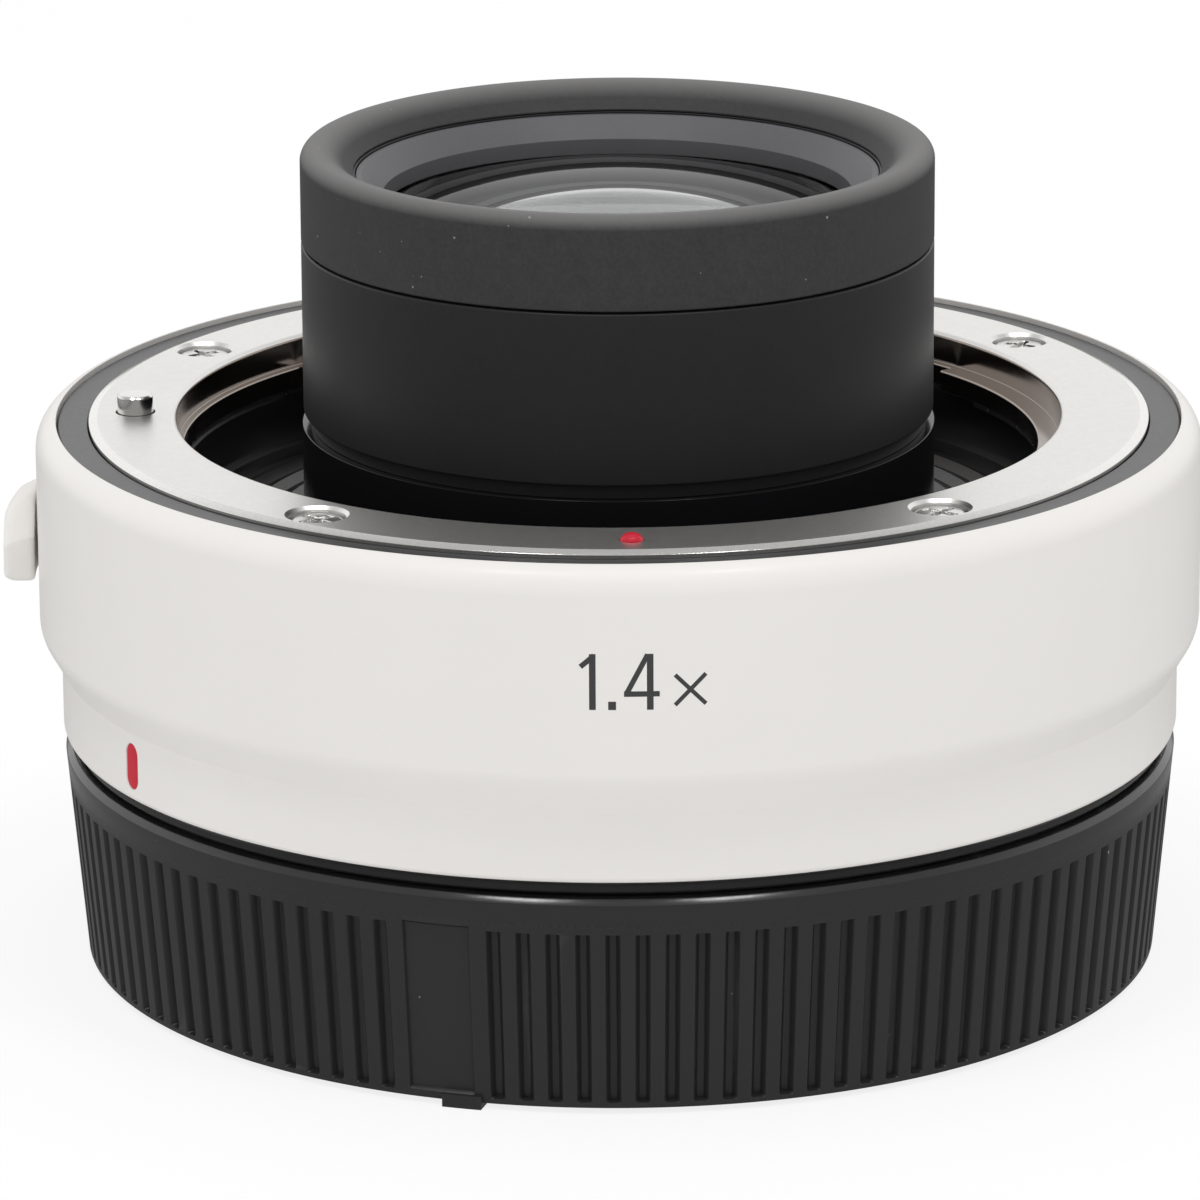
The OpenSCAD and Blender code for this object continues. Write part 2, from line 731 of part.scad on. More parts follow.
// Front bayonet: a steel ring with three tabs, four counterbores, the pin's hole and the index pocket
module front_bayonet_ring() {
  color("silver")
    difference() {
      rotate_extrude()
        polygon([
          [throat_r, ring_tab_top_z],
          [tab_r, ring_tab_top_z],
          [tab_r, ring_tab_z],
          [ring_collar_r, ring_tab_z],
          [ring_collar_r, ring_seat_z],
          [ring_r, ring_seat_z],
          [ring_r, front_z - ring_bevel_h],
          [ring_r - ring_bevel_w, front_z],
          [throat_r, front_z]
        ]);
      for (k = [0:2])
        sector(
          tab_r - over, notch_r, ring_tab_z - over, ring_tab_top_z + over,
          tab_azs[k] + tab_gaps[k] / 2, tab_gaps[k] - tab_arc
        );
      for (az = mount_screw_azs)
        at_az(az, screw_circle_r) {
          bar(screw_shank_r + fit, ring_seat_z - over, front_z);
          bar(screw_head_r + 2 * fit, front_z - screw_sink - screw_head_h, front_z + over);
          translate([0, 0, front_z - screw_bevel])
            cylinder(
              r1 = screw_head_r + 2 * fit, r2 = screw_head_r + 2 * fit + screw_bevel + over,
              h = screw_bevel + over
            );
        }
      at_az(pin_az, pin_circle_r)
        bar(pin_r + 2 * pin_fit, ring_seat_z - over, front_z + over);
      at_az(0, screw_circle_r)
        bar(index_r + fit, front_z - index_r, front_z + over);
    }
}

module front_mount_screws() {
  color("gainsboro")
    for (az = mount_screw_azs)
      at_az(az, screw_circle_r)
        translate([0, 0, front_z - screw_sink])
          screw(screw_head_r, screw_head_h, screw_shank_r, ring_h + annulus_h / 2 - screw_head_h);
}

// Red index: a plug in the ring with a domed end
module front_index_dot() {
  dome_r = (index_r * index_r + index_rise * index_rise) / (2 * index_rise);
  color("crimson")
    at_az(0, screw_circle_r)
      union() {
        bar(index_r, front_z - index_r + fit, front_z);
        intersection() {
          bar(index_r, front_z, front_z + index_rise);
          translate([0, 0, front_z + index_rise - dome_r])
            sphere(r = dome_r);
        }
      }
}

// Leaf plate that presses a mating lug upwards against the tabs
module bayonet_leaf_plate() {
  leaf_z = ring_tab_z - fit - leaf_h;
  color("lightsteelblue")
    difference() {
      ring(tab_r + bayonet_play, ring_collar_r, leaf_z, leaf_z + leaf_h);
      for (k = [0:2])
        sector(
          tab_r - over, notch_r + 2 * fit, leaf_z - over, leaf_z + leaf_h + over,
          tab_azs[k] + tab_gaps[k] / 2, tab_gaps[k] - leaf_arc
        );
    }
}

// Throat liner: a black cup with a ridged floor and a pocket for the contact block
module throat_baffle() {
  wall_top_z = ring_tab_z - 2 * fit - leaf_h;
  step_r = notch_r - floor_step_w;
  first_ridge_r = collar_r + ridge_in_land;
  last_ridge_r = step_r - ridge_out_land;
  ridge_pitch = (last_ridge_r - first_ridge_r) / ridge_count;
  pocket_arc = contact_arc + pocket_room;
  color("dimgray")
    difference() {
      rotate_extrude()
        polygon(concat(
          [
            [collar_r + fit, floor_z - floor_h],
            [ring_collar_r, floor_z - floor_h],
            [ring_collar_r, wall_top_z],
            [notch_r, wall_top_z],
            [notch_r, floor_z + floor_step_h],
            [step_r, floor_z + floor_step_h],
            [step_r, floor_z]
          ],
          [
            for (k = [ridge_count - 1:-1:0])
              let (r = first_ridge_r + k * ridge_pitch)
                each [
                  [r + ridge_pitch, floor_z],
                  [r + ridge_pitch / 2, floor_z + ridge_h],
                  [r + ridge_gap, floor_z]
                ]
          ],
          [[collar_r + fit, floor_z]]
        ));
      sector(
        contact_in_r - 2 * fit, contact_out_r + 2 * fit,
        floor_z - floor_h - over, contact_top_z, contact_az, pocket_arc
      );
    }
}

// Frame: a cast drum with a seat for each mount, a web under the throat and a window for the release slider
module main_frame() {
  lean = lining_drop + 2 * fit;
  color("darkslategray")
    difference() {
      union() {
        rotate_extrude()
          polygon([
            [frame_low_r, plate_z],
            [frame_low_r, waist_z + lean],
            [frame_r, waist_top_z + lean],
            [frame_r, trim_seat_z - fit],
            [ring_r + fit, trim_seat_z - fit],
            [ring_r + fit, ring_seat_z],
            [seat_r, ring_seat_z],
            [seat_r, annulus_z],
            [wall_in_r, annulus_z],
            [wall_in_r, web_top_z],
            [web_bore_r, web_top_z],
            [web_bore_r, web_z],
            [wall_in_r, web_z],
            [wall_in_r, plate_top_z],
            [plate_bore_r, plate_top_z],
            [plate_bore_r, plate_z]
          ]);
        for (az = post_azs)
          at_az(az, post_circle_r)
            bar(post_r, plate_top_z - fit, board_z);
      }
      for (az = mount_screw_azs)
        at_az(az, screw_circle_r)
          bar(screw_shank_r + fit, annulus_z - over, ring_seat_z + over);
      for (az = rear_screw_azs)
        at_az(az, screw_circle_r)
          bar(screw_shank_r + fit, plate_z - over, plate_top_z + fit);
      for (az = tube_screw_azs)
        at_az(az, tube_screw_r)
          bar(small_shank_r + fit, plate_z - over, plate_top_z + over);
      for (az = post_azs)
        at_az(az, post_circle_r)
          bar(small_shank_r + fit, board_z - small_shank_h, board_z + over);
      at_az(pin_az, pin_circle_r) {
        bar(pin_r + pin_fit, web_z - over, web_top_z + over);
        bar(pin_r + pin_fit, annulus_z - over, ring_seat_z + over);
      }
      sector(
        wall_in_r - over, frame_r + over, web_top_z + fit, annulus_z - fit,
        (window_back_az + window_front_az) / 2, window_front_az - window_back_az
      );
      at_az(contact_az, rear_flex_r)
        translate([-flex_w / 2 - flex_room, -flex_h - flex_room, plate_z - over])
          cube([flex_w + 2 * flex_room, flex_h + 2 * flex_room, plate_h + 2 * over]);
    }
}

// Shell: a turned white cover with a waist, a rounded top and a slot for the lever's stem
module outer_shell() {
  slot_az = lever_az - lever_turn / 2;
  slot_arc = stem_arc + lever_turn + slot_room;
  color("whitesmoke")
    difference() {
      rotate_extrude()
        polygon(concat(
          arc([shell_low_r - shell_edge_round, shell_z + shell_edge_round], shell_edge_round, -90, 0),
          [[shell_low_r, waist_z]],
          arc([shell_r - shoulder_round, shoulder_z], shoulder_round, -waist_slope, 0),
          arc([shell_r - top_round, top_round_z], top_round, 0, top_round_arc),
          [
            [shell_top_r, trim_seat_z - fit],
            [shell_in_r, trim_seat_z - fit],
            [shell_in_r, waist_top_z + lining_drop],
            [shell_low_in_r, waist_z + lining_drop],
            [shell_low_in_r, shell_z]
          ]
        ));
      sector(shell_in_r - over, shell_r + over, stem_z - moving, stem_z + stem_h + moving, slot_az, slot_arc);
      at_az(line_az, shell_low_r - line_depth)
        translate([-line_w / 2 - fit, -over, waist_z - line_h - fit])
          cube([line_w + 2 * fit, over, line_h]);
    }
}

// Red mount line: an inlay flush with the shell's narrow part
module mount_index_line() {
  color("crimson")
    intersection() {
      ring(shell_low_r - line_depth + fit, shell_low_r, waist_z - line_h, waist_z - 2 * fit);
      at_az(line_az, shell_low_r - line_depth)
        translate([-line_w / 2, -over, waist_z - line_h])
          cube([line_w, over, line_h - 2 * fit]);
    }
}

module front_trim_ring() {
  color("gray")
    ring(ring_r + fit, trim_r, trim_seat_z, trim_z);
}

// Lock pin: a stepped pin with a spring collar and a cam stud
module lock_pin() {
  pin_top_z = front_z + pin_rise;
  pin_point = 0.15;
  color("silver")
    at_az(pin_az, pin_circle_r)
      union() {
        bar(pin_r, pin_end_z, pin_top_z - pin_point);
        translate([0, 0, pin_top_z - pin_point])
          cylinder(r1 = pin_r, r2 = pin_r - pin_point, h = pin_point);
        bar(pin_collar_r, pin_collar_z, pin_collar_z + pin_collar_h);
        translate([0, 0, stud_z])
          rotate([90, 0, 0])
            cylinder(r = stud_r, h = slider_out_r + moving - pin_circle_r);
      }
}

module pin_spring() {
  color("lightsteelblue")
    at_az(pin_az, pin_circle_r)
      translate([0, 0, web_top_z + fit])
        coil(pin_spring_r, pin_collar_z - web_top_z - 2 * fit, pin_spring_turns);
}

// Release slider: a curved plate whose sloping slot draws the lock pin's stud down
module release_slider() {
  cam_x = cam_run + cam_end;
  color("lightsteelblue")
    difference() {
      sector(
        slider_r, slider_out_r, slider_z, slider_top_z,
        (slider_back_az + slider_front_az) / 2, slider_front_az - slider_back_az
      );
      at_az(cam_mid_az, slider_r - over)
        translate([0, 0, stud_z - pin_travel / 2])
          rotate([90, 0, 0])
            linear_extrude(slider_wall + 2 * over)
              polygon([
                [-cam_x, cam_rise - cam_half],
                [cam_x, -cam_rise - cam_half],
                [cam_x, -cam_rise + cam_half],
                [-cam_x, cam_rise + cam_half]
              ]);
      for (side = [-1, 1])
        at_az(lever_az + side * lever_screw_arc / 2, slider_r - over)
          translate([0, 0, lever_screw_z])
            rotate([90, 0, 0])
              cylinder(r = lever_screw_r + fit, h = slider_wall + 2 * over);
    }
}

// Release lever: a finger piece outside the shell and a stem that reaches the slider
module release_lever() {
  lever_end_z = lever_z + lever_h;
  face_turn = 90 - lever_slope;
  crown_in_r = lever_out_r - lever_crown;
  face_w = crown_in_r + lever_crown * cos(face_turn) - lever_in_r;
  crown_z = lever_end_z - face_w * tan(lever_slope) - lever_crown * sin(face_turn);
  color("whitesmoke")
    difference() {
      union() {
        rotate([0, 0, lever_az - lever_arc / 2 + minus_y])
          rotate_extrude(angle = lever_arc)
            polygon(concat(
              [[lever_in_r, lever_z]],
              arc([lever_out_r - lever_corner, lever_z + lever_corner], lever_corner, -90, 0),
              arc([crown_in_r, crown_z], lever_crown, 0, face_turn),
              [[lever_in_r, lever_end_z]]
            ));
        sector(stem_seat_r, lever_in_r + fit, stem_z, stem_z + stem_h, lever_az, stem_arc);
      }
      for (side = [-1, 1])
        at_az(lever_az + side * lever_screw_arc / 2, stem_seat_r - over)
          translate([0, 0, lever_screw_z])
            rotate([90, 0, 0])
              cylinder(r = lever_screw_r + fit, h = over + lever_screw_depth + fit);
    }
}

module lever_screws() {
  color("gainsboro")
    for (side = [-1, 1])
      at_az(lever_az + side * lever_screw_arc / 2, slider_r - fit - lever_screw_head_h)
        translate([0, 0, lever_screw_z])
          rotate([-90, 0, 0])
            screw(
              lever_screw_head_r, lever_screw_head_h, lever_screw_r,
              2 * fit + slider_wall + lever_screw_depth
            );
}

// Lever spring: a coil between the slider's back end and the window's end
module lever_spring() {
  spring_r = slider_r + slider_wall / 2;
  half_arc = spring_arc / 2;
  length = 2 * spring_r * tan(half_arc) * cos(half_arc) - 2 * lever_spring_seat;
  color("lightsteelblue")
    at_az(slider_back_az - half_arc, spring_r * cos(half_arc))
      translate([-length / 2, 0, (slider_z + slider_top_z) / 2])
        rotate([0, 90, 0])
          coil(lever_spring_r, length, lever_spring_turns);
}

// Front contacts: a block in the throat and its sprung pins
module front_contact_block() {
  color("dimgray")
    difference() {
      sector(contact_in_r, contact_out_r, contact_z, contact_top_z, contact_az, contact_arc);
      for (k = [0:contact_count - 1])
        at_az(contact_start + k * contact_pitch, contact_circle_r)
          bar(contact_r + fit, contact_bore_z, contact_top_z + over);
    }
}

module front_contact_pins() {
  point = contact_r / 2;
  top_z = contact_pin_z + contact_pin_h;
  color("gold")
    for (k = [0:contact_count - 1])
      at_az(contact_start + k * contact_pitch, contact_circle_r) {
        bar(contact_r, contact_pin_z, top_z - point);
        translate([0, 0, top_z - point])
          cylinder(r1 = contact_r, r2 = contact_r - point, h = point);
      }
}

// Optical barrel: a tube with a screwed flange on the frame's plate
module optical_barrel() {
  color("darkslategray")
    difference() {
      rotate_extrude()
        polygon([
          [tube_bore_r, plate_z + fit],
          [tube_r, plate_z + fit],
          [tube_r, plate_top_z],
          [tube_flange_r, plate_top_z],
          [tube_flange_r, plate_top_z + tube_flange_h],
          [tube_r, plate_top_z + tube_flange_h],
          [tube_r, collar_top_z],
          [tube_bore_r, collar_top_z]
        ]);
      for (az = tube_screw_azs)
        at_az(az, tube_screw_r)
          bar(small_shank_r + fit, plate_top_z - over, plate_top_z + tube_flange_h + over);
      at_az(contact_az, tube_r + flex_slot_land)
        translate([-flex_w / 2 - flex_room, -tube_flange_r, plate_top_z - over])
          cube([flex_w + 2 * flex_room, tube_flange_r, tube_flange_h + 2 * over]);
    }
}

module barrel_screws() {
  color("gainsboro")
    for (az = tube_screw_azs)
      at_az(az, tube_screw_r)
        translate([0, 0, plate_top_z + tube_flange_h + small_head_h])
          screw(small_head_r, small_head_h, small_shank_r, tube_flange_h + small_shank_h);
}

module barrel_collar() {
  color("black")
    ring(tube_r + fit, collar_r, floor_z - floor_h, collar_top_z);
}

// Front barrel: spigot, neck, body, lens seat and threaded end in one turned piece
module front_barrel() {
  end_z = rim_lip_z - fit;
  color("black")
    rotate_extrude()
      polygon([
        [spigot_bore_r, spigot_z],
        [cell_r, spigot_z],
        [cell_r, collar_top_z],
        [neck_r, collar_top_z],
        [neck_r, barrel_z],
        [barrel_r, barrel_z],
        [barrel_r, rim_z - rim_gap],
        [rim_bore_r - fit, rim_z - rim_gap],
        [rim_bore_r - fit, end_z],
        [ring_thread_r + fit, end_z],
        [ring_thread_r + fit, front_lip_z - fit],
        [front_lens_r + fit, front_lip_z - fit],
        [front_lens_r + fit, front_seat_z],
        [front_clear_r, front_seat_z],
        [front_clear_r, front_seat_z - front_seat_h],
        [spigot_bore_r, front_seat_z - front_seat_h]
      ]);
}

// Rubber rim: a soft bumper with a rounded crest and a lip that falls inwards
module barrel_rim() {
  crest_r = barrel_r - rim_round;
  color("black")
    rotate_extrude()
      polygon(concat(
        [[rim_bore_r, rim_z], [barrel_r, rim_z]],
        arc([crest_r, rim_top_z - rim_round], rim_round, 0, 90),
        [
          for (i = [1:arc_steps])
            let (t = i / arc_steps)
              [crest_r + (rim_lip_r - crest_r) * t, rim_top_z - rim_fall * t * t]
        ],
        [[rim_lip_r, rim_lip_z], [rim_bore_r, rim_lip_z]]
      ));
}

module front_retaining_ring() {
  lip_h = 1;
  top_land = 0.35;
  cone_foot_z = front_lip_z + lip_h;
  cone_w = ring_thread_r - top_land - front_clear_r;
  color("gray")
    rotate_extrude()
      polygon([
        [front_clear_r, front_lip_z],
        [ring_thread_r, front_lip_z],
        [ring_thread_r, cone_foot_z + cone_w],
        [front_clear_r + cone_w, cone_foot_z + cone_w],
        [front_clear_r, cone_foot_z]
      ]);
}

module lens_1() {
  color("lightcyan")
    lens(front_lens_r, lens_1_z, front_curve, lens_1_z - glass_1, -curve_a);
}

module lens_2() {
  color("lightcyan")
    lens(front_lens_r, lens_2_z, curve_a, lens_2_z - glass_2, curve_b);
}

module lens_3() {
  color("lightcyan")
    lens(middle_lens_r, lens_3_z, -curve_c, lens_3_z - glass_3, -curve_d);
}

module lens_4() {
  color("lightcyan")
    lens(middle_lens_r, lens_4_z, curve_d, lens_4_z - glass_4, curve_d);
}

module lens_5() {
  color("lightcyan")
    lens(middle_lens_r, lens_5_z, -curve_d, lens_5_z - glass_5, -curve_e);
}

module lens_6() {
  color("lightcyan")
    lens(sixth_lens_r, lens_6_z, curve_f, lens_6_z - glass_6, curve_f);
}

module lens_7() {
  color("lightcyan")
    lens(rear_lens_r, lens_7_z, -curve_g, lens_end_z, -curve_h);
}

// Lens cell: a stepped sleeve that holds the second, third and fourth groups
module lens_cell() {
  neck_z = spigot_z - cell_gap;
  color("darkslategray")
    rotate_extrude()
      polygon([
        [rear_lens_r + fit, cell_z],
        [cell_r, cell_z],
        [cell_r, neck_z],
        [cell_neck_r, neck_z],
        [cell_neck_r, cell_top_z],
        [middle_lens_r + fit, cell_top_z],
        [middle_lens_r + fit, fifth_edge_z - fit],
        [stop_r, fifth_edge_z - fit],
        [stop_r, sixth_stop_z],
        [sixth_lens_r + fit, sixth_edge_z],
        [sixth_lens_r + fit, rear_edge_top_z],
        [rear_lens_r + fit, rear_edge_top_z]
      ]);
}

module cell_retaining_ring() {
  color("dimgray")
    ring(middle_lens_r - retainer_w, middle_lens_r, third_edge_z + fit, third_edge_z + fit + cell_ring_h);
}

module lens_spacer() {
  color("dimgray")
    ring(sixth_lens_r - spacer_wall, sixth_lens_r, spacer_z, spacer_top_z);
}

module rear_retaining_ring() {
  color("dimgray")
    ring(rear_lens_r - retainer_w, rear_lens_r, rear_edge_z - rear_ring_h, rear_edge_z);
}

// Rear bayonet: a flange with a tube, three lugs, four counterbores and the lock hole
module rear_bayonet() {
  color("silver")
    difference() {
      union() {
        rotate_extrude()
          polygon([
            [rear_bore_r, lug_z - rear_lip],
            [rear_tube_r, lug_z - rear_lip],
            [rear_tube_r, rear_z],
            [rear_flange_r, rear_z],
            [rear_flange_r, rear_z + rear_flange_h],
            [rear_bore_r, rear_z + rear_flange_h]
          ]);
        for (az = tab_azs)
          sector(rear_tube_r - fit, lug_r, lug_z, lug_top_z, az, lug_arc);
      }
      for (az = rear_screw_azs)
        at_az(az, screw_circle_r) {
          bar(screw_shank_r + fit, rear_z, rear_z + rear_flange_h + over);
          bar(screw_head_r + 2 * fit, rear_z - over, rear_z + screw_sink / 2 + screw_head_h);
        }
      at_az(pin_az, pin_circle_r)
        bar(pin_r + bayonet_play, rear_z - over, rear_z + pin_travel);
    }
}

module rear_mount_screws() {
  color("gainsboro")
    for (az = rear_screw_azs)
      at_az(az, screw_circle_r)
        translate([0, 0, rear_z + screw_sink / 2])
          rotate([180, 0, 0])
            screw(
              screw_head_r, screw_head_h, screw_shank_r,
              plate_top_z - rear_z - screw_sink / 2 - screw_head_h - fit
            );
}

module mount_shim() {
  half_w = 1.8;
  color("goldenrod")
    difference() {
      ring(screw_circle_r - half_w, screw_circle_r + half_w, plate_z - shim_h, plate_z);
      for (az = rear_screw_azs)
        at_az(az, screw_circle_r)
          bar(screw_shank_r + 2 * fit, plate_z - shim_h - over, plate_z + over);
    }
}

module rear_seal_ring() {
  seal_round = 0.3;
  seal_z = rear_z + fit;
  seal_top_z = shell_z - fit;
  color("black")
    rotate_extrude()
      polygon(concat(
        [[rear_flange_r + fit, seal_z]],
        arc([seal_r - seal_round, seal_z + seal_round], seal_round, -90, 0),
        [[seal_r, seal_top_z], [rear_flange_r + fit, seal_top_z]]
      ));
}

// Rear baffle: a black cup inside the bayonet with a window for the light
module rear_baffle() {
  color("dimgray")
    difference() {
      rotate_extrude()
        polygon([
          [0, baffle_plate_z],
          [baffle_r - baffle_wall, baffle_plate_z],
          [baffle_r - baffle_wall, baffle_end_z],
          [baffle_r, baffle_end_z],
          [baffle_r, baffle_top_z],
          [baffle_r - baffle_wall, baffle_top_z],
          [baffle_r - baffle_wall, baffle_plate_z + baffle_plate_h],
          [0, baffle_plate_z + baffle_plate_h]
        ]);
      translate([0, 0, baffle_plate_z - over]) {
        for (x = [-1, 1], y = [-1, 1])
          translate([x * (window_w / 2 - window_round), y * (window_d / 2 - window_round), 0])
            cylinder(r = window_round, h = baffle_plate_h + 2 * over);
        translate([-window_w / 2, -window_d / 2 + window_round, 0])
          cube([window_w, window_d - 2 * window_round, baffle_plate_h + 2 * over]);
        translate([-window_w / 2 + window_round, -window_d / 2, 0])
          cube([window_w - 2 * window_round, window_d, baffle_plate_h + 2 * over]);
      }
      at_az(contact_az, rear_flex_r)
        translate([-flex_w / 2 - flex_room, -flex_h - flex_room, baffle_plate_z - over])
          cube([flex_w + 2 * flex_room, flex_h + 2 * flex_room, baffle_plate_h + 2 * over]);
    }
}

module rear_contact_block() {
  block_arc = contact_arc + rear_block_room;
  color("dimgray")
    difference() {
      sector(rear_block_in_r, rear_block_out_r, rear_block_z, rear_block_top_z, contact_az, block_arc);
      for (k = [0:contact_count - 1])
        at_az(contact_start + k * contact_pitch, pad_circle_r)
          bar(pad_r + fit, rear_block_z - over, rear_block_z + pad_h);
    }
}

module rear_contact_pads() {
  color("gold")
    for (k = [0:contact_count - 1])
      at_az(contact_start + k * contact_pitch, pad_circle_r)
        bar(pad_r, rear_block_z - pad_rise, rear_block_z + pad_h - fit);
}

// Circuit board, its parts and screws, and the two flexible cables
module main_board() {
  open_arc = 40;
  board_az = 60;
  color("seagreen")
    difference() {
      sector(board_in_r, board_r, board_z, board_top_z, board_az, full_turn - open_arc);
      for (az = post_azs)
        at_az(az, post_circle_r)
          bar(small_shank_r + fit, board_z - over, board_top_z + over);
    }
}

module board_parts() {
  color("black")
    for (chip = chips)
      at_az(chip[0], board_mid_r)
        translate([-chip_w * chip[1] / 2, -chip_w * chip[2] / 2, board_top_z])
          cube([chip_w * chip[1], chip_w * chip[2], chip_h * chip[3]]);
}

module board_screws() {
  color("gainsboro")
    for (az = post_azs)
      at_az(az, post_circle_r)
        translate([0, 0, board_top_z + small_head_h])
          screw(small_head_r, small_head_h, small_shank_r, board_h + small_shank_h - fit);
}

module front_flex_cable() {
  color("peru")
    at_az(contact_az, 0)
      union() {
        translate([-flex_w / 2, -front_flex_r - flex_h, board_top_z])
          cube([flex_w, flex_h, contact_z - board_top_z]);
        translate([-flex_w / 2, -flex_reach_r, board_top_z])
          cube([flex_w, flex_reach_r - front_flex_r, flex_h]);
      }
}

module rear_flex_cable() {
  color("peru")
    at_az(contact_az, 0)
      union() {
        translate([-flex_w / 2, -rear_flex_r - flex_h, rear_block_top_z])
          cube([flex_w, flex_h, board_z - rear_block_top_z]);
        translate([-flex_w / 2, -flex_reach_r, board_z - flex_h])
          cube([flex_w, flex_reach_r - rear_flex_r, flex_h]);
      }
}

// One flute cutter: an upright groove with sloping walls and a flat floor, leaning with the cap's draft
module flute() {
  half_floor = flute_floor_w / 2;
  half_open = flute_w / 2 + over * (flute_w / 2 - half_floor) / flute_depth;
  translate([0, -cap_edge_r, cap_edge_h])
    rotate([cap_draft, 0, 0])
      translate([0, 0, flute_foot])
        linear_extrude(flute_h - flute_foot)
          polygon([
            [-half_open, -over],
            [half_open, -over],
            [half_floor, flute_depth],
            [-half_floor, flute_depth]
          ]);
}

// Rear cap: a fluted cup with a smooth panel, a nub and three bayonet tabs inside
module rear_cap() {
  skip = (panel_places + 1) / 2;
  panel_w = 2 * cap_edge_r * sin(panel_arc / 2);
  color("black")
    difference() {
      union() {
        rotate_extrude()
          polygon([
            [0, 0],
            [cap_base_r, 0],
            [cap_edge_r, cap_edge_h],
            [cap_top_r, cap_h - cap_bevel],
            [cap_top_r - cap_bevel, cap_h],
            [cap_bore_r, cap_h],
            [cap_bore_r, cap_floor],
            [0, cap_floor]
          ]);
        for (az = tab_azs)
          sector(tab_r, cap_bore_r + fit, cap_tab_top_z - tab_h, cap_tab_top_z, az, lug_arc);
        sector(cap_base_r - over, cap_edge_r + nub_out, 0, nub_h, nub_az, nub_arc);
      }
      for (k = [skip:flute_count - skip])
        rotate([0, 0, panel_az + k * flute_pitch])
          flute();
      at_az(panel_az, cap_edge_r)
        translate([0, 0, cap_edge_h])
          rotate([90 + cap_draft, 0, 0])
            translate([-panel_w / 2, panel_margin, -panel_depth])
              cube([panel_w, flute_h - panel_margin + panel_rise, panel_depth + over]);
    }
}

outer_shell();
front_trim_ring();
front_bayonet_ring();
front_mount_screws();
front_index_dot();
mount_index_line();
bayonet_leaf_plate();
throat_baffle();
main_frame();
lock_pin();
pin_spring();
release_lever();
release_slider();
lever_screws();
lever_spring();
front_contact_block();
front_contact_pins();
optical_barrel();
barrel_screws();
barrel_collar();
front_barrel();
barrel_rim();
front_retaining_ring();
lens_1();
lens_2();
lens_3();
lens_4();
lens_5();
lens_6();
lens_7();
lens_cell();
cell_retaining_ring();
lens_spacer();
rear_retaining_ring();
rear_bayonet();
rear_mount_screws();
mount_shim();
rear_seal_ring();
rear_baffle();
rear_contact_block();
rear_contact_pads();
main_board();
board_parts();
board_screws();
front_flex_cable();
rear_flex_cable();
rear_cap();
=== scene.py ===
"""Teleconverter: its visible pieces, finishes and stage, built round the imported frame.

Every piece is a grid of points worked out with whole arrays. Azimuth is counted from the front (-Y)
towards +X, so a point at radius r stands at x = r sin(azimuth), y = -r cos(azimuth).
"""

import json
import math

import bmesh
import bpy
import numpy as np
from bpy.props import FloatProperty, FloatVectorProperty, IntProperty, PointerProperty
from mathutils import Matrix, Vector


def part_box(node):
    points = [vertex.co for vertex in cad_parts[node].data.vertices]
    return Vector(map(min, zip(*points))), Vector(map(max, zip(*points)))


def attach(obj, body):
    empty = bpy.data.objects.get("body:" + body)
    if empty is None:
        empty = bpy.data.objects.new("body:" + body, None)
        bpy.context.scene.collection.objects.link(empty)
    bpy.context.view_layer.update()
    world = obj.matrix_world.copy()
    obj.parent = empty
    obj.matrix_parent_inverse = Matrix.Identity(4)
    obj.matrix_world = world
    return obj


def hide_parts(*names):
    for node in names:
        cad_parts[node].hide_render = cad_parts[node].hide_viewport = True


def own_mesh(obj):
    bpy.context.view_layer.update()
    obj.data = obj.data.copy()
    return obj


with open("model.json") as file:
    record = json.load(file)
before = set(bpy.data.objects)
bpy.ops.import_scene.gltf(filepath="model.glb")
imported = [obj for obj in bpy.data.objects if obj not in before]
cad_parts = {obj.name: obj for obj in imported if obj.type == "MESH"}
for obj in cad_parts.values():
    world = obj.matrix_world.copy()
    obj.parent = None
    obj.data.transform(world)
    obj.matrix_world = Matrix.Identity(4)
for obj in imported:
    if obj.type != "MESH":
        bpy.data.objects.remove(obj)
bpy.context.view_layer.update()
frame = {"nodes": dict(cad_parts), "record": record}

bl_info = {
    "name": "Teleconverter",
    "version": (1, 0, 0),
    "blender": (4, 5, 0),
    "location": "View3D > Sidebar > Teleconverter",
    "description": "Builds the visible pieces, finishes and stage of a camera teleconverter on its frame",
    "category": "Add Mesh",
}

MM = 0.001
MERGE = 2e-7
SHARP = math.radians(32)
THIN = 0.05 * MM
FLOOR_REACH = 3.0
FLOOR_DROP = 0.02 * MM
FLOOR_COLOUR = (0.96, 0.96, 0.96, 1.0)
TAB_PLACES = (101, 203, 330)
# Strokes of the number as shares of its height: from x, z to x, z, and width
NUMBER_STROKES = (
    (-0.733, 0.0, -0.733, 1.0, 0.115), (-0.7, 0.975, -0.938, 0.771, 0.094), (-0.395, 0.0, -0.395, 0.148, 0.136),
    (0.261, 0.0, 0.261, 1.0, 0.115), (0.22, 0.99, -0.15, 0.283, 0.094), (-0.19, 0.283, 0.424, 0.283, 0.098),
    (0.69, 0.611, 1.223, 0.081, 0.075), (1.223, 0.62, 0.69, 0.072, 0.075),
)


# Measures of the frame, and the kinds of property


def low(node):
    """Height of a node's lowest point."""
    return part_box(node)[0][2]


def high(node):
    """Height of a node's highest point."""
    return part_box(node)[1][2]


def reach(node):
    """Radius of a turned node."""
    return max(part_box(node)[1][:2])


def length(default, description):
    """A length in metres."""
    return FloatProperty(description=description, default=default, unit="LENGTH", precision=5)


def mm(value, description):
    """A length, given in millimetres and kept in metres."""
    return length(value * MM, description)


def pair(values, description):
    """Two lengths, given in millimetres and kept in metres."""
    default = [value * MM for value in values]
    return FloatVectorProperty(description=description, default=default, size=2, unit="LENGTH")


def angle(degrees, description):
    """An angle, given in degrees and kept in radians."""
    return FloatProperty(description=description, default=math.radians(degrees), subtype="ANGLE")


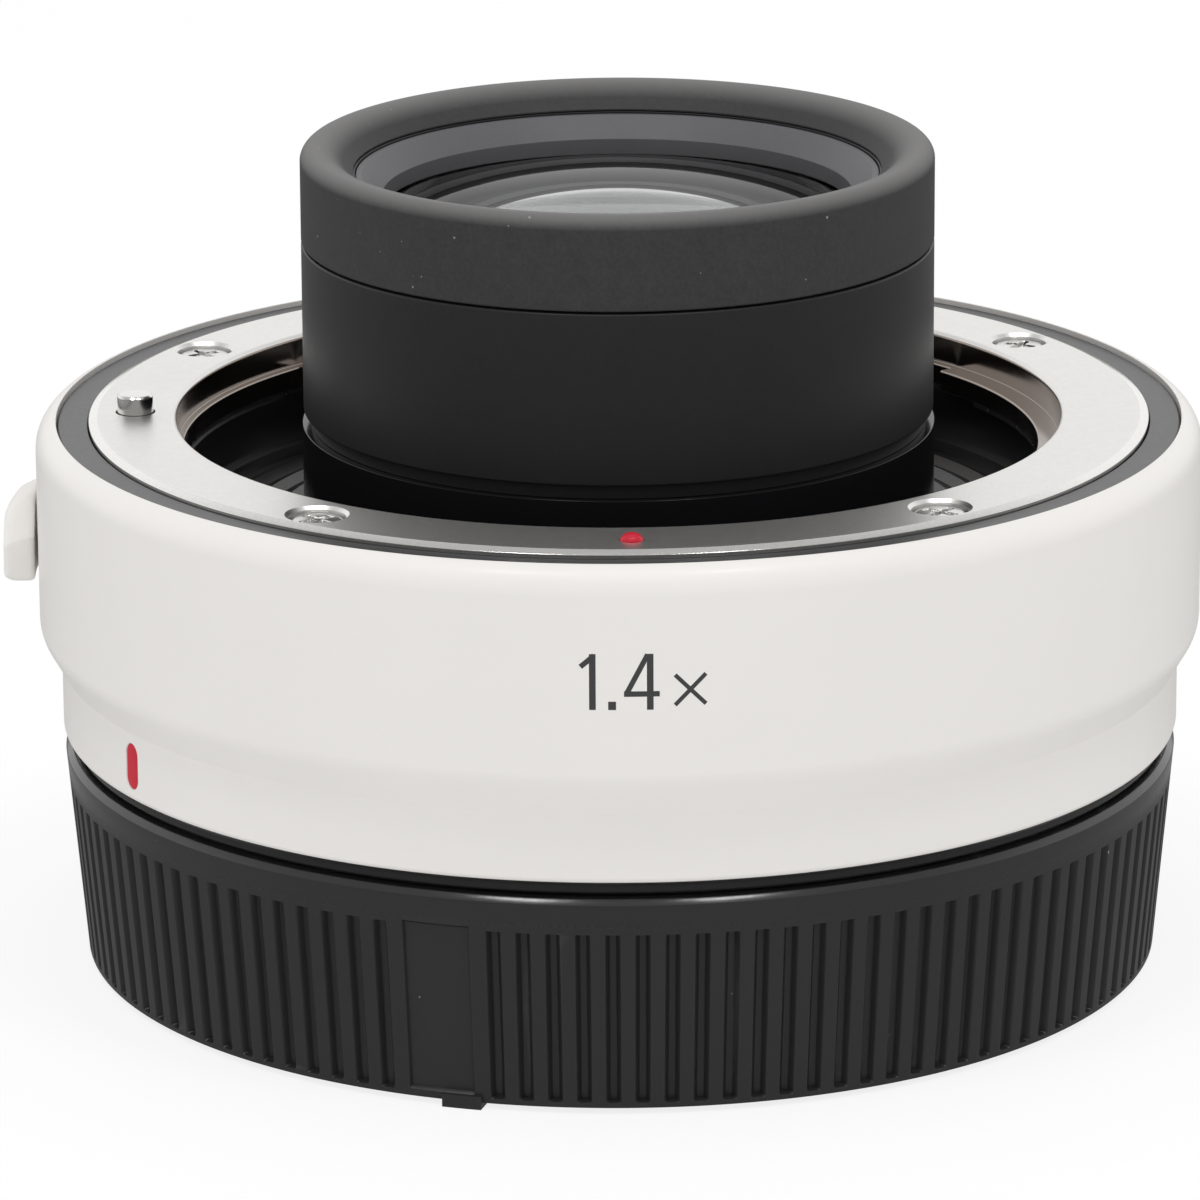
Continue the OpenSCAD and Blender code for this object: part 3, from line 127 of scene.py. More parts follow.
def angles(degrees, description):
    """A list of angles, given in degrees and kept in radians."""
    default = [math.radians(value) for value in degrees]
    return FloatVectorProperty(description=description, default=default, size=len(default), unit="ROTATION")


def amount(default, description):
    """A plain number."""
    return FloatProperty(description=description, default=default)


def whole(default, description):
    """A whole number of 1 or more."""
    return IntProperty(description=description, default=default, min=1)


def place(default, description):
    """A point in metres."""
    return FloatVectorProperty(description=description, default=default, size=3, subtype="TRANSLATION")


def tint(colour, description):
    """A linear colour."""
    return FloatVectorProperty(description=description, default=colour, size=3, min=0.0, max=1.0, subtype="COLOR")


# Sizes and colours that a user would change


class ShellSizes(bpy.types.PropertyGroup):
    """Outline of the white shell and the slot in it."""

    radius: length(reach("outer_shell"), "Radius of the wide upper band")
    foot: length(low("outer_shell"), "Height of the lower edge")
    crown: length(high("outer_shell"), "Height of the inner top edge")
    wall: mm(1.7, "Thickness of the wall")
    low_step: mm(1.3, "How far the lower band lies inside the upper one")
    low_wall: mm(1.4, "Thickness of the lower band's wall")
    lining_rise: mm(0.6, "How far the lining's corners lie above the waist and the shoulder")
    waist_height: mm(4.25, "Height of the lower band")
    waist_slope: angle(30, "Lean of the cone between the bands")
    waist_round: mm(0.25, "Rounding at the foot of the cone")
    shoulder_round: mm(2.0, "Rounding at the top of the cone")
    foot_round: mm(0.4, "Rounding of the lower edge")
    crown_width: mm(1.27, "Width of the rounding at the top")
    crown_arc: angle(71, "How far the top rounding turns inwards")
    crown_round: mm(1.8, "Radius of the top rounding")
    crown_drop: mm(1.15, "Depth of the step that the trim ring lies in")
    slot_az: angle(-101, "Azimuth of the lever's slot")
    slot_arc: angle(17, "Arc of the lever's slot")
    slot_low: mm(25.25, "Height of the slot's lower edge")
    slot_high: mm(27.85, "Height of the slot's upper edge")
    slot_round: mm(0.3, "Rounding of the slot's long edges")


class MarkSizes(bpy.types.PropertyGroup):
    """Coloured and printed marks on the shell."""

    line_az: angle(-59.3, "Azimuth of the red mounting line")
    line_width: mm(1.35, "Width of the red mounting line")
    line_foot: mm(15.27, "Height of the line's lower end")
    line_top: mm(18.07, "Height of the line's upper end")
    line_depth: mm(0.28, "Depth of the dish that the red line lies in")
    line_margin: mm(0.1, "Room round the red line in its dish")
    line_sink: amount(0.2, "Depth of the red line's paint as a share of the dish")
    line_swell: amount(0.15, "Rise of the red line's paint as a share of the dish")
    number_az: angle(0, "Azimuth that the number is laid out from")
    number_foot: mm(25.4, "Height of the number's base line")
    number_height: mm(3.32, "Height of a figure")
    arrow_az: angle(-96, "Azimuth of the mark above the lever")
    arrow_height: mm(30.7, "Height of the mark above the lever")
    arrow_length: mm(2.4, "Length of that mark without its round ends")
    arrow_width: mm(0.35, "Width of that mark")
    lift: mm(0.012, "Height of the print above the paint")


class MountSizes(bpy.types.PropertyGroup):
    """Steel bayonet ring with its screws, lock pin and index dot, and the trim ring round it."""

    radius: length(reach("front_bayonet_ring") - 0.35 * MM, "Outer radius of the steel ring")
    top: length(high("front_bayonet_ring"), "Height of the ring's face")
    foot: length(low("front_bayonet_ring"), "Height of the tabs' lower side")
    thickness: mm(2.5, "Thickness of the ring's flange")
    bevel_width: mm(0.55, "Width of the outer bevel")
    bevel_height: mm(0.2, "Height of the outer bevel")
    edge: mm(0.06, "Rounding of the machined edges")
    throat: mm(27.0, "Radius of the opening")
    throat_round: mm(0.35, "Rounding of the opening's upper edge")
    collar: mm(27.6, "Radius of the ring below its flange")
    notch: mm(26.55, "Radius between the tabs")
    tab: mm(25.6, "Radius of the tabs' inner edge")
    tab_depth: mm(1.9, "Depth of the tabs below the face")
    tab_places: angles(TAB_PLACES, "Azimuth of each tab")
    tab_arc: angle(50, "Arc of each tab")
    screw_circle: mm(29.8, "Radius on which the screws lie")
    screw_places: angles((37.5, -37.5, 120.5, -120.5), "Azimuth of each screw")
    head_radius: mm(1.6, "Radius of a screw's head")
    head_height: mm(0.85, "Height of a screw's head")
    head_sink: mm(0.3, "Depth of a head below the face")
    head_room: mm(0.1, "Room round a head")
    head_round: mm(0.28, "Rounding of a head's edge")
    head_bevel: mm(0.2, "Bevel round a head's counterbore")
    shank_radius: mm(0.85, "Radius of a screw's shank")
    recess_length: mm(1.9, "Length of the cross recess")
    recess_width: mm(0.42, "Width of the cross recess")
    recess_depth: mm(0.55, "Depth of the cross recess")
    pin_az: angle(-90, "Azimuth of the lock pin")
    pin_circle: mm(29.5, "Radius on which the lock pin lies")
    pin_radius: mm(1.1, "Radius of the lock pin")
    pin_point: mm(0.15, "Bevel at the pin's point")
    pin_room: mm(0.12, "Room round the lock pin")
    pin_collar: mm(1.6, "Radius of the pin's spring collar")
    pin_collar_foot: mm(27.9, "Height of the collar's lower side")
    pin_collar_height: mm(0.7, "Height of the collar")
    stud_radius: mm(0.5, "Radius of the pin's cam stud")
    dot_radius: mm(0.7, "Radius of the red index dot")
    dot_edge: mm(0.1, "Depth below the face at which the dot's dome starts")
    dot_room: mm(0.04, "Room round the index dot")
    trim_round: mm(0.12, "Rounding of the trim ring's edges")


class LeverSizes(bpy.types.PropertyGroup):
    """Release lever: finger piece and stem."""

    az: angle(-96.5, "Azimuth of the lever's middle")
    arc: angle(13, "Arc of the finger piece")
    foot: length(low("release_lever"), "Height of the lower side")
    top: length(high("release_lever"), "Height of the inner top edge")
    inner: mm(35.9, "Radius of the inner side")
    outer: mm(37.8, "Radius of the outer side")
    slope: angle(27, "Fall of the upper face")
    crown_round: mm(1.0, "Rounding at the top of the outer side")
    foot_round: mm(0.8, "Rounding at the foot of the outer side")
    end_round: mm(0.4, "Rounding of both ends")
    end_fall: amount(0.42, "Share of the height by which the upper face falls at both ends")
    end_run: mm(2.2, "Length of that fall")
    stem_inner: mm(31.85, "Radius at which the stem starts")
    stem_foot: mm(25.55, "Height of the stem's lower side")
    stem_height: mm(2.0, "Height of the stem")
    stem_arc: angle(6, "Arc of the stem")
    stem_lap: mm(0.3, "How far the stem runs into the finger piece")


class SpringSizes(bpy.types.PropertyGroup):
    """Coil springs of the lock pin and the lever."""

    wire: mm(0.15, "Radius of the wire")
    pin_coil: mm(1.35, "Radius of the pin's coil")
    pin_turns: whole(4, "Turns of the pin's coil")
    pin_keep: amount(0.49, "Share of its length that the pin's coil keeps when the pin is drawn in")
    lever_coil: mm(0.85, "Radius of the lever's coil")
    lever_turns: whole(8, "Turns of the lever's coil")
    lever_length: mm(10.3, "Length of the lever's coil")
    lever_circle: mm(31.61, "Radius on which the lever's coil lies")
    lever_az: angle(-117, "Azimuth of the middle of the lever's coil")
    lever_keep: amount(0.5, "Share of its length that the lever's coil keeps when the lever is pushed")


class BarrelSizes(bpy.types.PropertyGroup):
    """Black front barrel: collar, neck, body, rubber rim and the ring that holds the glass."""

    radius: length(reach("front_barrel"), "Radius of the barrel")
    foot: mm(34.05, "Height of the body's lower edge")
    neck_depth: mm(0.48, "Depth of the groove below the body")
    collar_radius: length(reach("barrel_collar"), "Radius of the gloss collar")
    collar_wall: mm(0.85, "Thickness of the collar")
    edge: mm(0.15, "Rounding of the body's edges")
    rim_foot: length(low("barrel_rim"), "Height of the rim's lower edge")
    rim_top: length(high("barrel_rim"), "Height of the rim's crest")
    rim_gap: mm(0.12, "Thin groove below the rim")
    rim_bore: mm(17.63, "Inner radius of the rim's wall")
    rim_round: mm(0.8, "Rounding of the rim's outer edge")
    rim_crest: mm(17.55, "Radius where the rim's top starts to fall")
    rim_lip: mm(16.0, "Radius of the rim's inner lip")
    rim_fall: mm(1.45, "How far the lip lies below the crest")
    rim_lip_height: mm(0.1, "Thickness of the lip's edge")
    crest_round: mm(2.2, "Rounding of the rim's crest")
    lip_round: mm(0.02, "Rounding of the lip's lower edge")
    spigot: mm(16.95, "Radius of the part inside the collar")
    spigot_bore: mm(15.6, "Bore of the part inside the collar")
    thread: length(reach("front_retaining_ring"), "Radius of the ring that holds the glass")
    clear: mm(14.24, "Free radius in front of the glass")
    cone: mm(1.26, "Width of the ring's cone")
    seat: mm(41.1, "Height of the glass's seat")
    seat_height: mm(1.75, "Thickness of the glass's seat")


class GlassSizes(bpy.types.PropertyGroup):
    """Seven glasses: depth of the front and the rear curve at the edge, hollow where negative."""

    first: pair((2.3, -4.02), "Depths of the first glass")
    second: pair((4.02, 1.26), "Depths of the second glass")
    third: pair((-1.11, -2.93), "Depths of the third glass")
    fourth: pair((2.93, 2.93), "Depths of the fourth glass")
    fifth: pair((-2.93, -0.95), "Depths of the fifth glass")
    sixth: pair((1.56, 1.56), "Depths of the sixth glass")
    seventh: pair((-2.48, -0.61), "Depths of the seventh glass")
    front_index: amount(1.15, "Refractive index of the first glass, low in place of a coating")
    index: amount(1.42, "Refractive index of the other glasses")


class CapSizes(bpy.types.PropertyGroup):
    """Fluted rear cap and the seal ring above it."""

    top_radius: length(reach("rear_cap"), "Radius below the rim's bevel")
    height: length(high("rear_cap"), "Height of the cap")
    taper: mm(1.13, "How much narrower the lower edge is")
    base_bevel: mm(1.65, "Width of the bevel round the base")
    base_height: mm(0.35, "Height of the bevel round the base")
    rim_bevel: mm(0.35, "Bevel of the upper rim")
    bore: mm(31.22, "Inner radius")
    floor: mm(2.0, "Thickness of the floor")
    flutes: whole(122, "Flute places round the cap")
    flute_width: mm(0.95, "Width of a flute at the surface")
    flute_floor: mm(0.35, "Width of a flute's floor")
    flute_depth: mm(0.5, "Depth of a flute")
    flute_drop: mm(2.15, "Distance from the rim to the flutes' ends")
    flute_foot: mm(0.3, "Height of the plain edge below the flutes")
    flute_soft: mm(0.12, "Length over which the ends of flutes and panel fall")
    panel_az: angle(-19.9, "Azimuth of the smooth panel")
    panel_arc: angle(7, "Arc of the smooth panel")
    panel_depth: mm(0.25, "Depth of the smooth panel")
    panel_margin: mm(0.5, "Distance from the lower edge to the panel")
    panel_rise: mm(0.2, "How far the panel runs past the flutes' upper ends")
    nub_az: angle(-17.7, "Azimuth of the nub at the lower edge")
    nub_arc: angle(4.2, "Arc of the nub")
    nub_out: mm(0.3, "How far the nub stands out")
    nub_height: mm(0.8, "Height of the nub")
    tab_places: angles(TAB_PLACES, "Azimuth of each tab inside")
    tab_arc: angle(34, "Arc of each tab inside")
    tab_radius: mm(25.6, "Radius of the tabs inside")
    tab_foot: mm(10.35, "Height of the tabs' lower side")
    tab_height: mm(1.3, "Height of the tabs inside")
    seal_width: mm(1.0, "Width of the seal ring")
    seal_round: mm(0.3, "Rounding of the seal ring's edges")


class FinishColours(bpy.types.PropertyGroup):
    """Base colour of each finish in the record."""

    __annotations__ = {
        row["slot"]: tint(row["base_color"], row["finish"])
        for row in frame["record"]["materials"]
    }


class StageSettings(bpy.types.PropertyGroup):
    """Camera and light."""

    eye: place((-0.011105, -0.454396, 0.154625), "Place of the camera")
    aim: place((-0.001059, 0.006147, 0.019721), "Point that the camera looks at")
    roll: angle(-0.318, "Turn of the camera about its line of sight")
    focal: amount(230.707, "Focal length in millimetres on a 36 mm sensor")
    fill: amount(0.88, "Strength of the light from all round")
    shade: amount(0.2, "Strength of the studio's dark side, behind the camera, in reflections")
    ceiling: amount(0.3, "Strength of the studio's ceiling in reflections")
    lamp: amount(0.75, "Power of each of the two overhead lamps in watts")
    lamp_size: length(0.12, "Width of each overhead lamp")
    lamp_place: place((0.17, -0.2, 0.75), "Place of the right lamp, which the left one mirrors")
    lamp_aim: place((0.0, 0.0, 0.02), "Point that both lamps look at")
    floor_white: amount(0.82, "Share of plain white in the floor as the camera sees it")
    floor_shade: amount(0.3, "Brightness of the floor in reflections")


# Grids


def rounded(corners, steps=6):
    """Outline through corners of radius, height and rounding, each corner an exact arc.

    The arc is the rational curve ((1-t)^2 A + 2 w t (1-t) P + t^2 B) / ((1-t)^2 + 2 w t (1-t) + t^2) between
    its two points of touch A and B, with w the sine of half the angle at the corner P.
    """
    corners = np.array(corners, dtype=float)
    spot, size = corners[:, :2], corners[:, 2]
    back, ahead = np.roll(spot, 1, axis=0) - spot, np.roll(spot, -1, axis=0) - spot
    back /= np.linalg.norm(back, axis=1, keepdims=True)
    ahead /= np.linalg.norm(ahead, axis=1, keepdims=True)
    half = 0.5 * np.arccos(np.clip((back * ahead).sum(axis=1), -1.0, 1.0))
    touch = (size / np.tan(half))[:, None]
    start, end = (spot + back * touch)[:, None], (spot + ahead * touch)[:, None]
    t = np.linspace(0.0, 1.0, steps + 1)[None, :, None]
    first, middle, last = (1 - t) ** 2, 2 * np.sin(half)[:, None, None] * t * (1 - t), t**2
    outline = ((first * start + middle * spot[:, None] + last * end) / (first + middle + last)).reshape(-1, 2)
    moved = np.linalg.norm(outline - np.roll(outline, 1, axis=0), axis=1) > MERGE
    return outline[moved]


def wrap(az):
    """Angles brought between -pi and pi."""
    return (az + math.pi) % (2 * math.pi) - math.pi


def round_lines(count=360, edges=(), gap=3e-4):
    """Azimuths of the columns round a piece, with a pair of columns at each edge."""
    edges = np.array(edges, dtype=float)
    evenly = np.linspace(-math.pi, math.pi, count, endpoint=False)
    return np.unique(wrap(np.concatenate([evenly, edges - gap, edges + gap])))


def turned(outline, az=None, centre=(0.0, 0.0)):
    """Outline carried round an upright axis: x = r sin(azimuth), y = -r cos(azimuth), z = height."""
    az = round_lines() if az is None else az
    r, z = outline[..., 0], outline[..., 1]
    x = centre[0] + r * np.sin(az)[:, None]
    y = centre[1] - r * np.cos(az)[:, None]
    return np.stack([x, y, np.broadcast_to(z, x.shape)], axis=-1)


def capped(grid):
    """Grid with both ends of its first axis closed on their middle points."""
    first, last = [np.broadcast_to(grid[end].mean(axis=0), grid[:1].shape) for end in (0, -1)]
    return np.concatenate([first, grid, last])


def swept(outlines, az):
    """Outline carried through an arc of azimuth and closed at both ends."""
    return capped(turned(outlines, az))


def block(inner, outer, foot, top, edge):
    """Corners of a square section, from one radius and height to another."""
    return [(inner, foot, edge), (outer, foot, edge), (outer, top, edge), (inner, top, edge)]


def sector(inner, outer, foot, top, az, arc, edge=THIN, count=24):
    """Block bent round the axis."""
    return swept(rounded(block(inner, outer, foot, top, edge), 3), az + arc * np.linspace(-0.5, 0.5, count))


def on_circle(radius, az):
    """Plan point at a radius and azimuth."""
    return radius * math.sin(az), -radius * math.cos(az)


def stroke(radius, az, start, end, width, lift, blunt=False):
    """Stroke on a cylinder, between two points given as arc length from an azimuth and height.

    Along the stroke the half width is the square root of (w/2)^2 - s^2, with s the way past either end, or
    constant up to a blunt end. Across it the section is an ellipse, so that the stroke swells softly.
    """
    start, end = np.array(start, dtype=float), np.array(end, dtype=float)
    span, half = np.linalg.norm(end - start), width / 2
    along = (end - start) / span
    if blunt:
        way = np.concatenate([[0], np.linspace(0, span, 12), [span]])
        broad = np.concatenate([[0], np.full(12, half), [0]])
    else:
        bend = half * np.sin(np.linspace(-math.pi / 2, 0, 10))
        way = np.concatenate([bend, np.linspace(0, span, 12)[1:-1], span - bend[::-1]])
        past = np.maximum(np.maximum(-way, way - span), 0)
        broad = np.sqrt(np.maximum(half**2 - past**2, 0))
    turn = np.linspace(0, 2 * math.pi, 24, endpoint=False)
    side = broad[:, None] * np.cos(turn)
    rise = lift * (broad / half)[:, None] * np.sin(turn)
    across = start[0] + along[0] * way[:, None] - along[1] * side
    height = start[1] + along[1] * way[:, None] + along[0] * side
    spot = az + across / radius
    r = radius + rise
    return np.stack([r * np.sin(spot), -r * np.cos(spot), height], axis=-1)


def skin(grid, ring=True, loop=True):
    """Points and quads of a grid, closed along its first axis if ring and along its second if loop."""
    index = np.arange(grid.shape[0] * grid.shape[1]).reshape(grid.shape[:2])
    if ring:
        index = np.concatenate([index, index[:1]])
    if loop:
        index = np.concatenate([index, index[:, :1]], axis=1)
    quads = np.stack([index[:-1, :-1], index[1:, :-1], index[1:, 1:], index[:-1, 1:]], axis=-1)
    return grid.reshape(-1, 3), quads.reshape(-1, 4)


def new_mesh(name, skins):
    """One mesh of several skins, with poles merged and faces turned outwards."""
    counts = np.cumsum([0] + [len(points) for points, _ in skins])
    points = np.concatenate([points for points, _ in skins])
    quads = np.concatenate([quads + base for (_, quads), base in zip(skins, counts)])
    mesh = bpy.data.meshes.new(name)
    mesh.vertices.add(len(points))
    mesh.vertices.foreach_set("co", points.astype(np.float32).ravel())
    mesh.loops.add(quads.size)
    mesh.loops.foreach_set("vertex_index", quads.astype(np.int32).ravel())
    mesh.polygons.add(len(quads))
    mesh.polygons.foreach_set("loop_start", np.arange(0, quads.size, 4, dtype=np.int32))
    mesh.update(calc_edges=True)
    work = bmesh.new()
    work.from_mesh(mesh)
    bmesh.ops.remove_doubles(work, verts=work.verts, dist=MERGE)
    bmesh.ops.recalc_face_normals(work, faces=work.faces)
    work.to_mesh(mesh)
    work.free()
    return mesh


def new_object(name, skins):
    """A mesh object at the origin."""
    piece = bpy.data.objects.new(name, new_mesh(name, skins))
    bpy.context.scene.collection.objects.link(piece)
    return piece


def cut(piece, skins):
    """Takes closed skins out of a piece."""
    tool = new_object("cutter", skins)
    step = piece.modifiers.new("cut", "BOOLEAN")
    step.object, step.solver = tool, "EXACT"
    graph = bpy.context.evaluated_depsgraph_get()
    mesh = bpy.data.meshes.new_from_object(piece.evaluated_get(graph))
    piece.modifiers.clear()
    piece.data = mesh
    bpy.data.objects.remove(tool)
    if not mesh.polygons:
        raise RuntimeError(f"cutting {piece.name} left nothing")


def new_piece(name, skins, slot, node=None, body="converter", cutters=()):
    """A finished piece: skins less the cutters, smooth shading, finish, body and the node that it replaces."""
    piece = new_object(name, skins)
    if cutters:
        cut(piece, cutters)
    piece.data.shade_smooth()
    piece.data.set_sharp_from_angle(angle=SHARP)
    piece.modifiers.new("normals", "WEIGHTED_NORMAL").keep_sharp = True
    piece.data.materials.clear()
    piece.data.materials.append(finish(slot))
    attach(piece, body)
    if node:
        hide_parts(node)
    return piece


def turned_piece(name, corners, slot, node, steps=6):
    """A round piece of the converter from its outline's corners."""
    return new_piece(name, [skin(turned(rounded(corners, steps)))], slot, node)


# Outlines of the pieces


def shell_corners(s):
    """Shell: two bands with a cone between them, and a rounding at the top that ends in a sharp inner edge."""
    inner, lower = s.radius - s.wall, s.radius - s.low_step
    band, rise = lower - s.low_wall, s.lining_rise
    waist = s.foot + s.waist_height
    shoulder = waist + s.low_step / math.tan(s.waist_slope)
    edge, step = s.radius - s.crown_width, s.crown - s.crown_drop
    knee = s.crown - s.crown_width / math.tan(s.crown_arc)
    return [
        (band, s.foot, THIN), (lower, s.foot, s.foot_round), (lower, waist, s.waist_round),
        (s.radius, shoulder, s.shoulder_round), (s.radius, knee, s.crown_round), (edge, s.crown, THIN),
        (edge, step, THIN), (inner, step, THIN), (inner, shoulder + rise, THIN), (band, waist + rise, THIN),
    ]


def red_line(k, s, drop, margin, lift):
    """Upright stroke of the mounting line on the lower band, or of the dish that it lies in."""
    half = k.line_width / 2
    return stroke(s.radius - s.low_step - drop, k.line_az, (0, k.line_foot + half), (0, k.line_top - half),
                  k.line_width + margin, lift)


def mount_outline(m, inner):
    """Steel ring: bevelled flange, throat wall and a lower flange that ends at the given radius."""
    step = m.top - m.tab_depth
    seat = m.top - m.thickness
    return rounded([
        (inner, m.foot, m.edge),
        (m.collar, m.foot, m.edge),
        (m.collar, seat, m.edge),
        (m.radius, seat, m.edge),
        (m.radius, m.top - m.bevel_height, m.edge),
        (m.radius - m.bevel_width, m.top, m.edge),
        (m.throat, m.top, m.throat_round),
        (m.throat, step, m.edge),
        (inner, step, 2 * m.edge),
    ])


def mount_grid(m):
    """Steel ring with the tabs' radius where the azimuth lies on a tab and the notch's radius elsewhere."""
    middles = np.array(m.tab_places)
    az = round_lines(360, np.concatenate([middles - m.tab_arc / 2, middles + m.tab_arc / 2]))
    off = np.abs(wrap(az[:, None] - middles)).min(axis=1)
    share = (off < m.tab_arc / 2).astype(float)[:, None, None]
    return turned(share * mount_outline(m, m.tab) + (1 - share) * mount_outline(m, m.notch), az)


def bore_skin(profile, centre):
    """Turned cutter about an upright axis, from the axis up and back to it."""
    return skin(turned(np.array(profile), round_lines(64), centre), loop=False)


def mount_cutters(m):
    """Counterbores with bevelled edges, the hole of the lock pin and the pocket of the index dot."""
    over = 0.5 * MM
    base, end = m.foot - over, m.top + over
    bore, hole = m.head_radius + m.head_room, m.shank_radius + m.head_room / 2
    shelf = m.top - m.head_sink - m.head_height
    counterbore = [
        (0, base), (hole, base), (hole, shelf), (bore, shelf), (bore, m.top - m.head_bevel),
        (bore + m.head_bevel + over, end), (0, end),
    ]
    cutters = [bore_skin(counterbore, on_circle(m.screw_circle, az)) for az in m.screw_places]
    for radius, foot, centre in (
        (m.pin_radius + m.pin_room, base, on_circle(m.pin_circle, m.pin_az)),
        (m.dot_radius + m.dot_room, m.top - m.dot_radius, on_circle(m.screw_circle, 0.0)),
    ):
        cutters.append(bore_skin([(0, foot), (radius, foot), (radius, end), (0, end)], centre))
    return cutters


def screw_grid(m, az, foot):
    """Screw: head with a cross recess, whose depth fades in over its soft edges, and a plain shank."""
    top = m.top - m.head_sink
    under = top - m.head_height
    slack = 0.01 * MM
    flat = m.head_radius - m.head_round - slack
    face = np.stack([np.linspace(0, flat - slack, 40), np.full(40, top)], axis=-1)
    side = rounded([(0, foot, 0), (m.shank_radius, foot, 0), (m.shank_radius, under, 0),
                    (m.head_radius, under, 0), (m.head_radius, top, m.head_round), (0, top, 0)])
    side = side[(side[:, 0] > flat) | (side[:, 1] < top - MERGE)]
    outline = np.concatenate([side, face[::-1]])
    turn = round_lines(120)
    across = np.abs(outline[:, 0] * np.sin(turn + az)[:, None])
    along = np.abs(outline[:, 0] * np.cos(turn + az)[:, None])
    soft = 0.1 * MM
    wide, long = m.recess_width / 2, m.recess_length / 2
    arms = [np.clip((wide - a) / soft + 0.5, 0, 1) * np.clip((long - b) / (3 * soft) + 0.5, 0, 1)
            for a, b in ((across, along), (along, across))]
    sunk = m.recess_depth * np.maximum(*arms) * (outline[:, 1] > top - soft)
    grid = np.stack([np.broadcast_to(outline[:, 0], sunk.shape), outline[:, 1] - sunk], axis=-1)
    return turned(grid, turn, on_circle(m.screw_circle, az))


def pin_skins(m, foot, top, stud_end):
    """Lock pin: polished bar with a bevelled point, its spring collar, and the cam stud across it."""
    collar_top = m.pin_collar_foot + m.pin_collar_height
    soft, point = 0.1 * MM, 0.12 * MM
    bar = rounded([
        (0, foot, 0), (m.pin_radius, foot, soft), (m.pin_radius, m.pin_collar_foot, THIN),
        (m.pin_collar, m.pin_collar_foot, soft), (m.pin_collar, collar_top, soft),
        (m.pin_radius, collar_top, THIN), (m.pin_radius, top - m.pin_point, soft),
        (m.pin_radius - m.pin_point, top, point), (0, top, 0),
    ])
    middle = m.pin_collar_foot + m.pin_collar_height / 2
    out = stud_end - m.pin_circle
    stud = turned(rounded([(0, 0, 0), (m.stud_radius, 0, 0), (m.stud_radius, out, soft), (0, out, 0)]),
                  round_lines(48))
    side = np.array([math.sin(m.pin_az), -math.cos(m.pin_az), 0.0])
    start = np.array([*on_circle(m.pin_circle, m.pin_az), middle])
    up, across = np.array([0.0, 0.0, 1.0]), np.array([side[1], -side[0], 0.0])
    laid = start + stud[..., :1] * across + stud[..., 1:2] * up + stud[..., 2:] * side
    return [skin(turned(bar, round_lines(96), on_circle(m.pin_circle, m.pin_az)), loop=False),
            skin(laid, loop=False)]


def lever_grid(v):
    """Finger piece: its outline swept round the shell, lower and drawn in along its normals towards both ends.

    The outline is drawn in by e (1 - sqrt(1 - (1 - d/e)^2)) at a distance d from an end of rounding e, and its
    height above the foot shrinks by a share that fades out over the run of the end.
    """
    run = v.outer - v.inner
    outline = rounded([
        (v.inner, v.foot, v.end_round),
        (v.outer, v.foot, v.foot_round),
        (v.outer, v.top - run * math.tan(v.slope), v.crown_round),
        (v.inner, v.top, v.end_round),
    ], 10)
    ahead = np.roll(outline, -1, axis=0) - np.roll(outline, 1, axis=0)
    normal = np.stack([ahead[:, 1], -ahead[:, 0]], axis=-1) / np.linalg.norm(ahead, axis=1, keepdims=True)
    size = v.arc * v.outer
    ends = v.end_round * (1 - np.cos(np.linspace(0, math.pi / 2, 9)))
    way = np.concatenate([ends, np.linspace(v.end_round, size - v.end_round, 24)[1:-1], size - ends[::-1]])
    near = np.minimum(np.minimum(way, size - way) / v.end_round, 1.0)
    inset = v.end_round * (1 - np.sqrt(np.maximum(1 - (1 - near) ** 2, 0)))
    drawn = outline - inset[:, None, None] * normal
    fall = v.end_fall * (1 - soft_step(np.minimum(way, size - way) / v.end_run))
    drawn[..., 1] -= fall[:, None] * (drawn[..., 1] - v.foot - inset[:, None])
    return swept(drawn, v.az + v.arc * (way / size - 0.5))


def coil_grid(radius, size, turns, wire):
    """Coil from height 0 to its size: at the turn a the middle of the wire is (r cos a, r sin a, rise a)."""
    a = np.linspace(0, 2 * math.pi * turns, 32 * turns + 1)[:, None]
    b = np.linspace(0, 2 * math.pi, 12, endpoint=False)
    r = radius + wire * np.cos(b)
    height = wire + (size - 2 * wire) * a / a[-1] + wire * np.sin(b)
    return capped(np.stack([r * np.cos(a), r * np.sin(a), height], axis=-1))


def lens_grid(radius, top, foot, front, rear):
    """Glass between two spheres: sag = R - sqrt(R^2 - r^2), with R from the depth at the edge."""
    r = radius * np.sin(np.linspace(0, math.pi / 2, 40))

    def sag(depth):
        ball = (radius**2 + depth**2) / (2 * depth)
        return ball - np.sign(depth) * np.sqrt(ball**2 - r**2)

    upper = top - max(-front, 0) - sag(front)
    under = foot + max(-rear, 0) + sag(rear)
    outline = np.concatenate([np.stack([r, under], axis=-1), np.stack([r, upper], axis=-1)[::-1]])
    return turned(outline, round_lines(180))


def soft_step(value):
    """Smooth rise from 0 to 1."""
    value = np.clip(value, 0.0, 1.0)
    return value * value * (3 - 2 * value)


